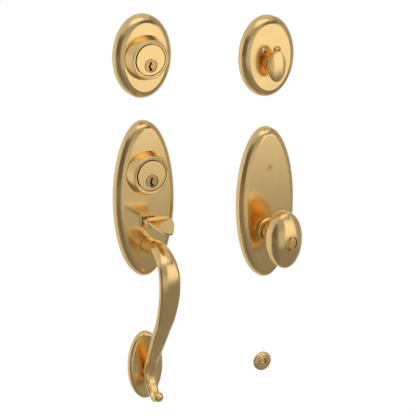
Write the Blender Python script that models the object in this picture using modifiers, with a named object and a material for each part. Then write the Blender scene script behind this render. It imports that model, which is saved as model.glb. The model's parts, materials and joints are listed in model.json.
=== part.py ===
"""Entry door handleset, outdoor side on the left and indoor side on the right.

Every piece is laid out on the plane of the door's face, as on a shop's display. Lengths are metres.
World X runs right, world Z up, and the pieces stand out towards world -Y.
Each piece is drawn in face coordinates: x right, y up, z out of the door.
"""
import math

import bmesh
import bpy
from mathutils import Matrix, Vector

# Layout on the door plane
INDOOR_X = 0.1515
OUTER_ROSE_Y = 0.1600
INNER_ROSE_Y = 0.1442
INNER_PLATE_Y = -0.0258
FOOT_ROSETTE_Y = -0.2220

# Gaps that touching and running pieces keep
SEAT_GAP = 0.0003
RUN_GAP = 0.0003
SCREW_GAP = 0.0004

# Oval roses and long plates
ROSE_HALF_WIDTH = 0.0332
ROSE_HALF_HEIGHT = 0.0455
PLATE_HALF_WIDTH = 0.0354
PLATE_HALF_HEIGHT = 0.0885
FACE_OUT = 0.0134
RIM_WALL = 0.0070
RIM_TURN = 78
FACE_INSET = 0.0080
SHELL_WALL = 0.0030
ROOF_WALL = 0.0030
RIB_HALF_WIDTH = 0.0060

# Cylinder set: collar, housing, plug, cap and tailpiece
CYLINDER_FRONT = 0.0261
COLLAR_BASE_RADIUS = 0.0246
COLLAR_FRONT_RADIUS = 0.02115
COLLAR_LIP_WIDTH = 0.0013
COLLAR_BEVEL_WIDTH = 0.0008
COLLAR_BEVEL_DROP = 0.0006
GROOVE_BEVEL = 0.0007
CYLINDER_HEAD_RADIUS = 0.0179
CYLINDER_NECK_RADIUS = 0.0145
CYLINDER_BACK = -0.0090
PLUG_DROP = 0.0062
PLUG_HEAD_RADIUS = 0.00685
PLUG_HEAD_LENGTH = 0.0022
PLUG_BODY_RADIUS = 0.0060
PLUG_RECESS = 0.0002
CAP_RADIUS = 0.0078
CAP_LENGTH = 0.0040
CAP_LIP_RADIUS = 0.0042
CAP_LIP = 0.0010
TAIL_DISC_THICKNESS = 0.0012
TAIL_WIDTH = 0.0064
TAIL_THICKNESS = 0.0018
DEADBOLT_TAIL_REACH = 0.0500
HANDLE_TAIL_REACH = 0.0300
POST_RADIUS = 0.0030
POST_SPREAD = 0.0112
POST_REACH = 0.0190
KEYWAY_WIDTH = 0.0017
KEYWAY_HEIGHT = 0.0096
KEYWAY_STEP = 0.0013
KEYWAY_FOOT_WIDTH = 0.0027
KEYWAY_DEPTH = 0.0240
HANDLE_CYLINDER_Y = 0.0322

# Indoor deadbolt turn
TURN_DROP = 0.0066
TURN_HALF_WIDTH = 0.0106
TURN_HALF_HEIGHT = 0.0179
TURN_BACK = 0.0240
TURN_BACK_INSET = 0.0032
TURN_BACK_ROUND = 0.0026
TURN_SIDE = 0.0288
TURN_RIM_STEP = 0.0006
TURN_FRONT = 0.0335
TURN_STEM_RADIUS = 0.0045
TURN_STEM_REACH = 0.0080
TURN_SLOT_WIDTH = 0.0024
TURN_SLOT_DEPTH = 0.0060
BUSHING_RADIUS = 0.0081
BUSHING_OUT = 0.0030
BUSHING_CHAMFER = 0.0006
MOUNTING_PLATE_RADIUS = 0.0240
MOUNTING_PLATE_THICKNESS = 0.0020
ROSE_SCREW_SPREAD = 0.0083
ROSE_SCREW_RISE = 0.0082
ROSE_SCREW_HEAD = 0.0041
ROSE_SCREW_DOME = 0.0021
SCREW_SHANK_RADIUS = 0.0019
ROSE_SCREW_REACH = 0.0300
CLIP_WALL = 0.0014
CLIP_THICKNESS = 0.0010

# Thumb lever and what carries it
LATCH_Y = -0.0208
BEZEL_HALF_WIDTH = 0.0094
BEZEL_HALF_HEIGHT = 0.0051
BEZEL_SIDE_BORDER = 0.0022
BEZEL_TOP_BORDER = 0.0017
BEZEL_OUT = 0.0015
BEZEL_EDGE = 0.0004
BEZEL_LINING = 0.0008
BEZEL_DEPTH = 0.0020
LEVER_THICKNESS = 0.0026
LEVER_CROWN = 0.0016
LEVER_TAIL_HALF_WIDTH = 0.0030
LEVER_TAIL_REACH = 0.0240
LEVER_TAIL_RISE = 0.0005
LEVER_ROOT_OUT = 0.0180
LEVER_ROOT_HALF_WIDTH = 0.0049
LEVER_ROOT_RISE = 0.0022
LEVER_REACH = 0.0710
LEVER_RISE = 0.0074
LEVER_BROAD_HALF_WIDTH = 0.0132
LEVER_EYE_RADIUS = 0.0032
FLANGE_OUT = 0.0170
FLANGE_THICKNESS = 0.0026
FLANGE_DROP = 0.0090
PIN_RADIUS = 0.0015
PIN_OUT = 0.0060
PIN_HALF_LENGTH = 0.0105
BRACKET_HALF_WIDTH = 0.0095
BRACKET_WALL = 0.0015
BRACKET_HALF_HEIGHT = 0.0055
BRACKET_WINDOW_HALF_HEIGHT = 0.0037
BRACKET_BASE = 0.0012
BRACKET_BACK = 0.0020
SPRING_WIRE = 0.00035
SPRING_TURNS = 3

# Grip
GRIP_NECK_Y = -0.0504
GRIP_REACH = 0.0686
GRIP_FOOT_DEPTH = 0.0144
NECK_RADIUS = 0.0089
GRIP_BROAD_HALF_WIDTH = 0.0123
GRIP_BROAD_HALF_DEPTH = 0.0058
GRIP_FOOT_HALF_WIDTH = 0.0067
GRIP_FOOT_HALF_DEPTH = 0.0034
HOOK_HALF_WIDTH = 0.0050
HOOK_HALF_DEPTH = 0.0012
BALL_RADIUS = 0.0060
BALL_Y = -0.2234
BALL_OUT = 0.0360
GRIP_POST_RADIUS = 0.0043
GRIP_POST_Y = -0.2040
GRIP_SCREW_DEPTH = 0.0160
FOOT_ROSE_Y = -0.1966
FOOT_HALF_WIDTH = 0.0206
FOOT_HALF_HEIGHT = 0.0402
FOOT_FACE_OUT = 0.0074
FOOT_RIM_WALL = 0.0049
FOOT_INSET = 0.0034
FOOT_WALL = 0.0024

# Knob
KNOB_DROP = 0.0310
KNOB_COLLAR_RADIUS = 0.0150
KNOB_COLLAR_OUT = 0.0022
KNOB_COLLAR_CHAMFER = 0.0009
SHANK_RADIUS = 0.0100
SHANK_WAIST_RADIUS = 0.0080
SHANK_END_RADIUS = 0.0092
SHANK_RING_RADIUS = 0.0124
SHANK_RING_OUT = 0.0238
SHANK_RING_HALF = 0.0010
SHANK_RING_ROOT = 0.0016
SHANK_WAIST_OUT = 0.0288
SHANK_BACK = 0.0020
KNOB_HALF_WIDTH = 0.0206
KNOB_HALF_HEIGHT = 0.0331
KNOB_BACK = 0.0345
KNOB_FRONT = 0.0660
BUTTON_RADIUS = 0.0078
BUTTON_FACE = 0.0644
BUTTON_THICKNESS = 0.0050
BUTTON_EDGE = 0.0008
BUTTON_BAR_HALF_WIDTH = 0.0025
BUTTON_BAR_HALF_LENGTH = 0.0068
BUTTON_BAR_RISE = 0.0042
BUTTON_BAR_ROUND = 0.0010
BUTTON_ROD_RADIUS = 0.0016
SPINDLE_SIDE = 0.0076
SPINDLE_REACH = 0.0450
CASSETTE_RADIUS = 0.0210
CASSETTE_THICKNESS = 0.0060
SET_SCREW_RADIUS = 0.0016
SET_SCREW_OUT = 0.0425
SET_SCREW_TIP = BUTTON_ROD_RADIUS + 4 * RUN_GAP
PLATE_SCREW_RISE = 0.0443
PLATE_SCREW_DROP = 0.0564
PLATE_SCREW_HEAD = 0.0034
PLATE_SCREW_REACH = 0.0350

# Foot rosette
ROSETTE_RADIUS = 0.01135
ROSETTE_OUT = 0.0047
ROSETTE_STEP = 0.0008
ROSETTE_POCKET = 0.0022
ROSETTE_SCREW_HEAD = 0.0034
ROSETTE_SCREW_DOME = 0.0016
FOOT_SCREW_REACH = 0.0130

# Facets round each kind of shape
OVAL_STEPS = 44
ROUND_STEPS = 30
SMALL_STEPS = 16
TURN_STEPS = 24
KNOB_STEPS = 32
GRIP_STEPS = 20
SCREW_STEPS = 12
ARC_STEPS = 2
RIM_STEPS = 5
BORE_STEPS = 24
DISC_STEPS = 20
THREAD_STEPS = 8

PARTS = "entry_door_handleset"
CUTTERS = "cutters"


def clear_scene():
    for item in list(bpy.data.objects):
        bpy.data.objects.remove(item, do_unlink=True)


def new_collection(name):
    collection = bpy.data.collections.new(name)
    bpy.context.scene.collection.children.link(collection)
    return collection


def new_material(name, colour, roughness, metallic=1.0):
    made = bpy.data.materials.new(name)
    made.use_nodes = True
    shader = made.node_tree.nodes["Principled BSDF"]
    shader.inputs["Base Color"].default_value = (*colour, 1.0)
    shader.inputs["Roughness"].default_value = roughness
    shader.inputs["Metallic"].default_value = metallic
    made.diffuse_color = (*colour, 1.0)
    return made


def new_empty(name, parent, x=0.0, y=0.0):
    empty = bpy.data.objects.new(name, None)
    empty.empty_display_size = 0.01
    empty.location = (x, y, 0.0)
    empty.parent = parent
    parts.objects.link(empty)
    return empty


def place(made, parent, finish, x=0.0, y=0.0):
    """Puts a piece on its group's empty, at (x, y) of the door's face."""
    made.parent = parent
    made.location = (x, y, 0.0)
    made.data.materials.append(finish)
    for polygon in made.data.polygons:
        polygon.use_smooth = True
    if hasattr(made.data, "set_sharp_from_angle"):
        made.data.set_sharp_from_angle(angle=math.radians(35))
    return made


def object_from_bmesh(name, shape):
    bmesh.ops.recalc_face_normals(shape, faces=shape.faces)
    mesh = bpy.data.meshes.new(name)
    shape.to_mesh(mesh)
    shape.free()
    made = bpy.data.objects.new(name, mesh)
    parts.objects.link(made)
    return made


def evaluated_copy(source):
    """Returns a new mesh with the source's modifiers applied."""
    graph = bpy.context.evaluated_depsgraph_get()
    return bpy.data.meshes.new_from_object(source.evaluated_get(graph))


def turned(name, profile, steps=ROUND_STEPS, closed=True):
    """A turned piece. The profile holds (radius, depth) pairs, down its outer side from front to back."""
    shape = bmesh.new()
    points = [shape.verts.new((radius, 0.0, depth)) for radius, depth in profile]
    for first, second in zip(points, points[1:]):
        shape.edges.new((first, second))
    if closed:
        shape.edges.new((points[-1], points[0]))
    mesh = bpy.data.meshes.new(name)
    shape.to_mesh(mesh)
    shape.free()
    made = bpy.data.objects.new(name, mesh)
    parts.objects.link(made)
    screw = made.modifiers.new("Turn", "SCREW")
    screw.axis = "Z"
    screw.angle = math.tau
    screw.steps = steps
    screw.render_steps = steps
    screw.use_merge_vertices = True
    screw.merge_threshold = 0.00001
    solid = evaluated_copy(made)
    made.modifiers.clear()
    old = made.data
    made.data = solid
    bpy.data.meshes.remove(old)
    return made


def solid_profile(outline):
    """Closes an outline of (radius, depth) pairs on the axis, front and back."""
    front = outline[0][1]
    back = outline[-1][1]
    return [(0.0, front), *outline, (0.0, back)]


def turned_solid(name, outline, steps=ROUND_STEPS):
    return turned(name, solid_profile(outline), steps, closed=False)


def block(name, low, high):
    """A box between two corners in face coordinates."""
    shape = bmesh.new()
    bmesh.ops.create_cube(shape, size=1.0)
    size = [top - bottom for bottom, top in zip(low, high)]
    middle = [(top + bottom) / 2 for bottom, top in zip(low, high)]
    bmesh.ops.scale(shape, verts=shape.verts, vec=size)
    bmesh.ops.translate(shape, verts=shape.verts, vec=middle)
    return object_from_bmesh(name, shape)


def prism(name, outline, front, back):
    """A flat outline of (x, y) points carried from one depth to another."""
    shape = bmesh.new()
    near = [shape.verts.new((x, y, front)) for x, y in outline]
    face = shape.faces.new(near)
    made = bmesh.ops.extrude_face_region(shape, geom=[face])
    moved = [item for item in made["geom"] if isinstance(item, bmesh.types.BMVert)]
    bmesh.ops.translate(shape, verts=moved, vec=(0.0, 0.0, back - front))
    return object_from_bmesh(name, shape)


def lofted(name, rings):
    """A solid through a list of rings of equal length, with flat caps on the first and the last."""
    shape = bmesh.new()
    loops = [[shape.verts.new(point) for point in ring] for ring in rings]
    count = len(loops[0])
    for near, far in zip(loops, loops[1:]):
        for index in range(count):
            after = (index + 1) % count
            shape.faces.new((near[index], near[after], far[after], far[index]))
    shape.faces.new(loops[0])
    shape.faces.new(loops[-1])
    return object_from_bmesh(name, shape)


def as_cutter(made):
    for collection in list(made.users_collection):
        collection.objects.unlink(made)
    cutters.objects.link(made)
    made.hide_render = True
    made.display_type = "WIRE"
    return made


def combine(target, tool, operation):
    """Cuts or joins the tool with the target, both in the same coordinates, and keeps the result."""
    as_cutter(tool)
    change = target.modifiers.new(tool.name, "BOOLEAN")
    change.operation = operation
    change.object = tool
    change.solver = "EXACT"
    bpy.context.view_layer.update()
    solid = evaluated_copy(target)
    target.modifiers.clear()
    old = target.data
    target.data = solid
    bpy.data.meshes.remove(old)
    bpy.data.objects.remove(tool, do_unlink=True)
    return target


def cut(target, tool):
    return combine(target, tool, "DIFFERENCE")


def join(target, tool):
    return combine(target, tool, "UNION")


def drill(target, radius, front, back, x=0.0, y=0.0, steps=SMALL_STEPS):
    hole = turned_solid("hole", [(radius, front), (radius, back)], steps)
    hole.data.transform(shift(x, y))
    return cut(target, hole)


def shift(x, y):
    return Matrix.Translation((x, y, 0.0))


def oval_ring(half_width, half_height, inset, depth, steps=OVAL_STEPS):
    """An oval's outline moved inwards by the same inset all round."""
    ring = []
    for index in range(steps):
        turn = math.tau * index / steps
        across = math.cos(turn)
        up = math.sin(turn)
        normal = Vector((half_height * across, half_width * up)).normalized()
        ring.append((half_width * across - inset * normal.x, half_height * up - inset * normal.y, depth))
    return ring


def cove(start, end):
    """Points on a hollow quarter oval from start to end, both (inset, depth), without the start."""
    points = []
    for index in range(1, ARC_STEPS + 1):
        angle = math.pi / 2 * index / ARC_STEPS
        share_in, share_out = math.sin(angle), 1 - math.cos(angle)
        points.append((start[0] + (end[0] - start[0]) * share_in, start[1] + (end[1] - start[1]) * share_out))
    return points


def rim_outline(wall, face_out, inset):
    """The rim's section from the door to the face: an upright wall, then a round.

    The round is the first RIM_TURN degrees of a quarter oval, so it meets the face at a faint edge.
    """
    reach = math.radians(RIM_TURN)
    width = inset / (1 - math.cos(reach))
    rise = (face_out - wall) / math.sin(reach)
    outline = [(0.0, 0.0)]
    for index in range(RIM_STEPS + 1):
        angle = reach * index / RIM_STEPS
        outline.append((width * (1 - math.cos(angle)), wall + rise * math.sin(angle)))
    return outline


def oval_shell(name, half_width, half_height):
    """A forged oval rose, open at the back."""
    outside = rim_outline(RIM_WALL, FACE_OUT, FACE_INSET)
    roof = FACE_OUT - ROOF_WALL
    bend = RIM_WALL - SHELL_WALL / 2
    inside = [(FACE_INSET + SHELL_WALL / 2, roof), (SHELL_WALL, bend), (SHELL_WALL, 0.0)]
    rings = [oval_ring(half_width, half_height, inset, depth) for inset, depth in inside + outside]
    return lofted(name, rings)


def collar(name, parent, y):
    lip_inside = COLLAR_FRONT_RADIUS - COLLAR_LIP_WIDTH
    ring_inside = CYLINDER_HEAD_RADIUS + RUN_GAP
    base = FACE_OUT + SEAT_GAP
    ring_front = CYLINDER_FRONT - COLLAR_BEVEL_DROP
    profile = [
        (ring_inside, ring_front - GROOVE_BEVEL),
        (ring_inside + GROOVE_BEVEL, ring_front),
        (lip_inside - COLLAR_BEVEL_WIDTH, ring_front),
        (lip_inside, CYLINDER_FRONT),
        (COLLAR_FRONT_RADIUS - COLLAR_BEVEL_DROP, CYLINDER_FRONT),
        (COLLAR_FRONT_RADIUS, CYLINDER_FRONT - COLLAR_BEVEL_DROP),
        (COLLAR_BASE_RADIUS, base),
        (ring_inside, base),
    ]
    return place(turned(name, profile, ROUND_STEPS), parent, satin_brass, y=y)


def plug_bore(head_radius, body_radius, front, shoulder, back):
    outline = [(head_radius, front), (head_radius, shoulder), (body_radius, shoulder), (body_radius, back)]
    return turned_solid("plug_bore", outline, SMALL_STEPS)


def cylinder_housing(name, parent, y):
    """The turned housing with a flush front disc, a neck through the rose and two threaded posts."""
    head_back = FACE_OUT + SEAT_GAP
    outline = [
        (CYLINDER_HEAD_RADIUS - GROOVE_BEVEL, CYLINDER_FRONT),
        (CYLINDER_HEAD_RADIUS, CYLINDER_FRONT - GROOVE_BEVEL),
        (CYLINDER_HEAD_RADIUS, head_back),
        (CYLINDER_NECK_RADIUS, head_back),
        (CYLINDER_NECK_RADIUS, CYLINDER_BACK),
    ]
    made = turned_solid(name, outline)
    for side in (-1, 1):
        post_ends = [(POST_RADIUS, 0.0), (POST_RADIUS, CYLINDER_BACK - POST_REACH)]
        post = turned_solid("post", post_ends, SCREW_STEPS)
        post.data.transform(shift(side * POST_SPREAD, 0.0))
        join(made, post)
        drill(made, SCREW_SHANK_RADIUS, CYLINDER_BACK - POST_REACH / 3, CYLINDER_BACK - 2 * POST_REACH,
              x=side * POST_SPREAD, steps=THREAD_STEPS)
    shoulder = CYLINDER_FRONT - PLUG_HEAD_LENGTH - PLUG_RECESS - RUN_GAP
    bore = plug_bore(PLUG_HEAD_RADIUS + RUN_GAP, PLUG_BODY_RADIUS + RUN_GAP,
                     2 * CYLINDER_FRONT, shoulder, 2 * CYLINDER_BACK)
    bore.data.transform(shift(0.0, -PLUG_DROP))
    cut(made, bore)
    return place(made, parent, satin_brass, y=y)


def keyway_outline():
    """The zigzag section that a key slides into, from top to bottom and back, with a wider foot."""
    half = KEYWAY_WIDTH / 2
    foot = KEYWAY_FOOT_WIDTH / 2
    top = KEYWAY_HEIGHT * 0.42
    bottom = top - KEYWAY_HEIGHT
    centre = [(0.0, top, half), (0.0, top * 0.35, half), (-KEYWAY_STEP, top * 0.05, half),
              (-KEYWAY_STEP, bottom * 0.35, half), (0.0, bottom * 0.62, half),
              (0.0, bottom * 0.7, foot), (0.0, bottom, foot)]
    right = [(x + wide, y) for x, y, wide in centre]
    left = [(x - wide, y) for x, y, wide in reversed(centre)]
    return right + left


def key_plug(name, parent, y):
    head_front = CYLINDER_FRONT - PLUG_RECESS
    head_back = head_front - PLUG_HEAD_LENGTH
    outline = [
        (PLUG_HEAD_RADIUS, head_front),
        (PLUG_HEAD_RADIUS, head_back),
        (PLUG_BODY_RADIUS, head_back),
        (PLUG_BODY_RADIUS, plug_back()),
    ]
    made = turned_solid(name, outline, BORE_STEPS)
    cut(made, prism("keyway", keyway_outline(), CYLINDER_FRONT * 2, head_front - KEYWAY_DEPTH))
    return place(made, parent, plug_brass, y=y - PLUG_DROP)


def plug_back():
    """How far back the plug reaches: past the housing by most of its cap's length."""
    return CYLINDER_BACK - (CAP_LENGTH - CAP_LIP - TAIL_DISC_THICKNESS - 2 * SEAT_GAP)


def plug_cap(name, parent, y):
    front = CYLINDER_BACK - SEAT_GAP
    back = front - CAP_LENGTH
    inside = PLUG_BODY_RADIUS + SEAT_GAP
    profile = [
        (inside, front),
        (CAP_RADIUS, front),
        (CAP_RADIUS, back),
        (CAP_LIP_RADIUS, back),
        (CAP_LIP_RADIUS, back + CAP_LIP),
        (inside, back + CAP_LIP),
    ]
    return place(turned(name, profile, BORE_STEPS), parent, plug_brass, y=y - PLUG_DROP)


def tailpiece(name, parent, y, reach):
    """A thin disc held by the plug's cap, with a flat bar that drives the lock."""
    disc_front = plug_back() - SEAT_GAP
    disc_back = disc_front - TAIL_DISC_THICKNESS
    radius = PLUG_BODY_RADIUS - RUN_GAP
    made = turned_solid(name, [(radius, disc_front), (radius, disc_back)], DISC_STEPS)
    half_width = TAIL_WIDTH / 2
    half_thickness = TAIL_THICKNESS / 2
    low = (-half_width, -half_thickness, disc_back - reach)
    high = (half_width, half_thickness, disc_front - TAIL_DISC_THICKNESS / 2)
    join(made, block("bar", low, high))
    return place(made, parent, steel, y=y - PLUG_DROP)


def cylinder_set(prefix, group, y, collar_name, housing_name, reach):
    """All that makes one keyed cylinder, on the rose or plate of its group."""
    collar(collar_name, group, y)
    cylinder_housing(housing_name, group, y)
    key_plug(prefix + "_key_plug", group, y)
    plug_cap(prefix + "_plug_cap", group, y)
    tailpiece(prefix + "_tailpiece", group, y, reach)


def cross_recess(radius, front):
    """The cross that a screwdriver turns."""
    half = radius * 0.17
    reach = radius * 0.62
    tool = block("cross", (-half, -reach, front - radius * 0.45), (half, reach, front + radius))
    join(tool, block("cross_bar", (-reach, -half, front - radius * 0.4), (reach, half, front + radius * 1.1)))
    return tool


def domed_screw(name, parent, x, y, seat, head, dome, reach):
    outline = [(head * 0.42, seat + dome), (head * 0.8, seat + dome * 0.78), (head, seat + dome * 0.2),
               (head, seat), (SCREW_SHANK_RADIUS, seat), (SCREW_SHANK_RADIUS, -reach)]
    made = turned_solid(name, outline, SCREW_STEPS)
    cut(made, cross_recess(head, seat + dome))
    return place(made, parent, satin_brass, x=x, y=y)


def flush_screw(name, parent, x, y, front, head, reach):
    outline = [(head, front), (head, front - head * 0.25), (SCREW_SHANK_RADIUS, front - head * 0.75),
               (SCREW_SHANK_RADIUS, -reach)]
    made = turned_solid(name, outline, SCREW_STEPS)
    cut(made, cross_recess(head, front))
    return place(made, parent, satin_brass, x=x, y=y)


def countersink(target, x, y, front, head):
    """The hole and seat for a flush screw of the same head."""
    wide = head + SCREW_GAP
    narrow = SCREW_SHANK_RADIUS + SCREW_GAP
    seat = front - head * 0.25 - SCREW_GAP
    outline = [(wide, 2 * front), (wide, seat), (narrow, seat - head * 0.5), (narrow, -front)]
    tool = turned_solid("countersink", outline, 16)
    tool.data.transform(shift(x, y))
    return cut(target, tool)


def deadbolt_outer(group):
    rose = oval_shell("deadbolt_outer_rose", ROSE_HALF_WIDTH, ROSE_HALF_HEIGHT)
    drill(rose, CYLINDER_NECK_RADIUS + SEAT_GAP, 2 * FACE_OUT, -FACE_OUT, steps=ROUND_STEPS)
    place(rose, group, satin_brass)
    cylinder_set("deadbolt", group, 0.0, "deadbolt_outer_collar", "deadbolt_cylinder_housing",
                 DEADBOLT_TAIL_REACH)


def turn_knob(group):
    """The oval turn: a shallow side, a small step and a domed front, on a slotted stem."""
    wide, tall = TURN_HALF_WIDTH, TURN_HALF_HEIGHT
    back = (TURN_BACK_INSET, TURN_BACK)
    rings = [back, *cove(back, (0.0, TURN_BACK + TURN_BACK_ROUND)), (0.0, TURN_SIDE)]
    sections = [oval_ring(wide, tall, inset, depth, TURN_STEPS) for inset, depth in rings]
    sections.append(oval_ring(wide, tall, TURN_RIM_STEP, TURN_SIDE + TURN_RIM_STEP, TURN_STEPS))
    rise = TURN_FRONT - TURN_SIDE - TURN_RIM_STEP
    dome_wide = wide - 2 * TURN_RIM_STEP
    dome_tall = tall - 2 * TURN_RIM_STEP
    for degrees in (0, 22, 44, 62, 78):
        angle = math.radians(degrees)
        share = math.cos(angle)
        depth = TURN_SIDE + TURN_RIM_STEP + rise * math.sin(angle)
        sections.append(oval_ring(dome_wide * share, dome_tall * share, 0.0, depth, TURN_STEPS))
    made = lofted("deadbolt_turn_knob", sections)
    stem_top = TURN_BACK + TURN_BACK_ROUND
    stem = turned_solid("stem", [(TURN_STEM_RADIUS, stem_top), (TURN_STEM_RADIUS, -TURN_STEM_REACH)],
                        DISC_STEPS)
    join(made, stem)
    half = TURN_SLOT_WIDTH / 2
    wide_cut = TURN_STEM_RADIUS * 2
    slot_front = -TURN_STEM_REACH + TURN_SLOT_DEPTH
    cut(made, block("slot", (-wide_cut, -half, -TURN_STEM_REACH * 2), (wide_cut, half, slot_front)))
    return place(made, group, satin_brass, y=-TURN_DROP)


def deadbolt_inner(group):
    rose = oval_shell("deadbolt_inner_rose", ROSE_HALF_WIDTH, ROSE_HALF_HEIGHT)
    bushing_bore = BUSHING_RADIUS - CLIP_WALL
    drill(rose, bushing_bore + SEAT_GAP, 2 * FACE_OUT, -FACE_OUT, y=-TURN_DROP, steps=BORE_STEPS)
    backing = turned_solid("deadbolt_mounting_plate", [
        (MOUNTING_PLATE_RADIUS, MOUNTING_PLATE_THICKNESS + SEAT_GAP),
        (MOUNTING_PLATE_RADIUS, SEAT_GAP)], BORE_STEPS)
    drill(backing, TURN_STEM_RADIUS + RUN_GAP, FACE_OUT, -FACE_OUT, y=-TURN_DROP)
    for side in (-1, 1):
        spread = side * ROSE_SCREW_SPREAD
        bore = SCREW_SHANK_RADIUS + SCREW_GAP
        drill(rose, bore, 2 * FACE_OUT, -FACE_OUT, x=spread, y=ROSE_SCREW_RISE, steps=SCREW_STEPS)
        drill(backing, bore, FACE_OUT, -FACE_OUT, x=spread, y=ROSE_SCREW_RISE, steps=SCREW_STEPS)
    place(rose, group, satin_brass)
    place(backing, group, steel)
    for side, word in ((-1, "left"), (1, "right")):
        domed_screw("deadbolt_screw_" + word, group, side * ROSE_SCREW_SPREAD, ROSE_SCREW_RISE,
                    FACE_OUT + SEAT_GAP, ROSE_SCREW_HEAD, ROSE_SCREW_DOME, ROSE_SCREW_REACH)
    stem_bore = TURN_STEM_RADIUS + RUN_GAP
    bushing = [
        (stem_bore, FACE_OUT + BUSHING_OUT),
        (BUSHING_RADIUS - BUSHING_CHAMFER, FACE_OUT + BUSHING_OUT),
        (BUSHING_RADIUS, FACE_OUT + BUSHING_OUT - BUSHING_CHAMFER),
        (BUSHING_RADIUS, FACE_OUT + SEAT_GAP),
        (bushing_bore, FACE_OUT + SEAT_GAP),
        (bushing_bore, FACE_OUT - ROOF_WALL),
        (stem_bore, FACE_OUT - ROOF_WALL),
    ]
    place(turned("deadbolt_turn_bushing", bushing, BORE_STEPS), group, satin_brass, y=-TURN_DROP)
    clip_front = FACE_OUT - ROOF_WALL - SEAT_GAP
    clip = [
        (stem_bore, clip_front),
        (stem_bore + CLIP_WALL, clip_front),
        (stem_bore + CLIP_WALL, clip_front - CLIP_THICKNESS),
        (stem_bore, clip_front - CLIP_THICKNESS),
    ]
    place(turned("deadbolt_turn_clip", clip, DISC_STEPS), group, steel, y=-TURN_DROP)
    turn_knob(group)


def smooth_path(stations, steps):
    """Points on a smooth curve through the stations, each a tuple of numbers."""
    points = []
    last = len(stations) - 1
    for index in range(last):
        before = stations[max(index - 1, 0)]
        start = stations[index]
        end = stations[index + 1]
        after = stations[min(index + 2, last)]
        for step in range(steps):
            t = step / steps
            points.append(tuple(
                0.5 * (2 * b + (c - a) * t + (2 * a - 5 * b + 4 * c - d) * t * t
                       + (3 * b - a - 3 * c + d) * t ** 3)
                for a, b, c, d in zip(before, start, end, after)))
    points.append(stations[-1])
    return points


def section_ring(centre, across, outwards, half_width, half_depth, power, steps):
    """A rounded section, from round at a power of 2 to nearly square at higher powers."""
    ring = []
    for index in range(steps):
        turn = math.tau * index / steps
        c, s = math.cos(turn), math.sin(turn)
        x = half_width * math.copysign(abs(c) ** (2 / power), c)
        z = half_depth * math.copysign(abs(s) ** (2 / power), s)
        ring.append(tuple(centre + across * x + outwards * z))
    return ring


def grip_stations():
    """The pull's path and sections from its seat on the plate to the ball: y, out, half sizes, power.

    The path is in shares of the drop from the neck to the ball and of the reach out from the door.
    The body share is 0 at the round neck, 1 where the pull is broadest and 2 at its narrow foot.
    Past 2 the foot thins into the hook that holds the ball.
    """
    path = [
        (-0.007, 0.380, 0.00), (-0.018, 0.554, 0.10), (-0.004, 0.736, 0.35), (0.041, 0.889, 0.68),
        (0.100, 0.975, 0.92), (0.166, 1.000, 1.00), (0.270, 0.968, 1.06), (0.410, 0.847, 1.24),
        (0.520, 0.687, 1.39), (0.619, 0.544, 1.54), (0.729, 0.376, 1.71), (0.804, 0.260, 1.88),
        (0.870, 0.212, 2.00), (0.929, 0.240, 2.00), (0.966, 0.302, 2.05), (1.002, 0.375, 2.25),
        (1.020, 0.437, 2.50), (1.027, 0.503, 2.80),
    ]
    drop = GRIP_NECK_Y - BALL_Y
    stations = [(GRIP_NECK_Y, FACE_OUT + SEAT_GAP, NECK_RADIUS, NECK_RADIUS, 2.0)]
    for down, out, body in path:
        if body < 1:
            wide = NECK_RADIUS + (GRIP_BROAD_HALF_WIDTH - NECK_RADIUS) * body
            deep = NECK_RADIUS + (GRIP_BROAD_HALF_DEPTH - NECK_RADIUS) * body
            power = 2 + body
        else:
            along = min(body, 2) - 1
            thin = max(body, 2) - 2
            wide = GRIP_BROAD_HALF_WIDTH + (GRIP_FOOT_HALF_WIDTH - GRIP_BROAD_HALF_WIDTH) * along
            deep = GRIP_BROAD_HALF_DEPTH + (GRIP_FOOT_HALF_DEPTH - GRIP_BROAD_HALF_DEPTH) * along
            wide -= (GRIP_FOOT_HALF_WIDTH - HOOK_HALF_WIDTH) * thin
            deep -= (GRIP_FOOT_HALF_DEPTH - HOOK_HALF_DEPTH) * thin
            power = 3.0
        stations.append((GRIP_NECK_Y - drop * down, GRIP_REACH * out, wide, deep, power))
    return stations


def grip_ball():
    """The ball that sits in the hook at the foot of the pull."""
    profile = []
    for degrees in (4, 24, 44, 64, 90, 116, 136, 156, 176):
        angle = math.radians(degrees)
        profile.append((BALL_RADIUS * math.sin(angle), BALL_OUT + BALL_RADIUS * math.cos(angle)))
    made = turned_solid("ball", profile, SMALL_STEPS)
    made.data.transform(shift(0.0, BALL_Y))
    return made


def grip(group):
    """The pull: a round neck that turns down into a broad, flat-sided middle, then a hook with a ball."""
    points = smooth_path(grip_stations(), 2)
    rings = []
    for index, (y, out, half_width, half_depth, power) in enumerate(points):
        ahead = points[min(index + 1, len(points) - 1)]
        behind = points[max(index - 1, 0)]
        run = Vector((0.0, ahead[0] - behind[0], ahead[1] - behind[1])).normalized()
        if index == 0:
            run = Vector((0.0, 0.0, 1.0))
        outwards = Vector((0.0, run.z, -run.y))
        rings.append(section_ring(Vector((0.0, y, out)), Vector((1.0, 0.0, 0.0)), outwards,
                                  half_width, half_depth, max(power, 2.0), GRIP_STEPS))
    made = lofted("grip", rings)
    join(made, grip_ball())
    foot_seat = FOOT_FACE_OUT + SEAT_GAP
    post_ends = [(GRIP_POST_RADIUS, GRIP_FOOT_DEPTH), (GRIP_POST_RADIUS, foot_seat)]
    post = turned_solid("post", post_ends, SMALL_STEPS)
    post.data.transform(shift(0.0, GRIP_POST_Y))
    join(made, post)
    bore = SCREW_SHANK_RADIUS + SCREW_GAP
    drill(made, bore, GRIP_FOOT_DEPTH - SEAT_GAP, 0.0, y=GRIP_POST_Y, steps=SCREW_STEPS)
    drill(made, bore, FACE_OUT + GRIP_SCREW_DEPTH, 0.0, y=GRIP_NECK_Y, steps=SCREW_STEPS)
    return place(made, group, satin_brass)


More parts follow.
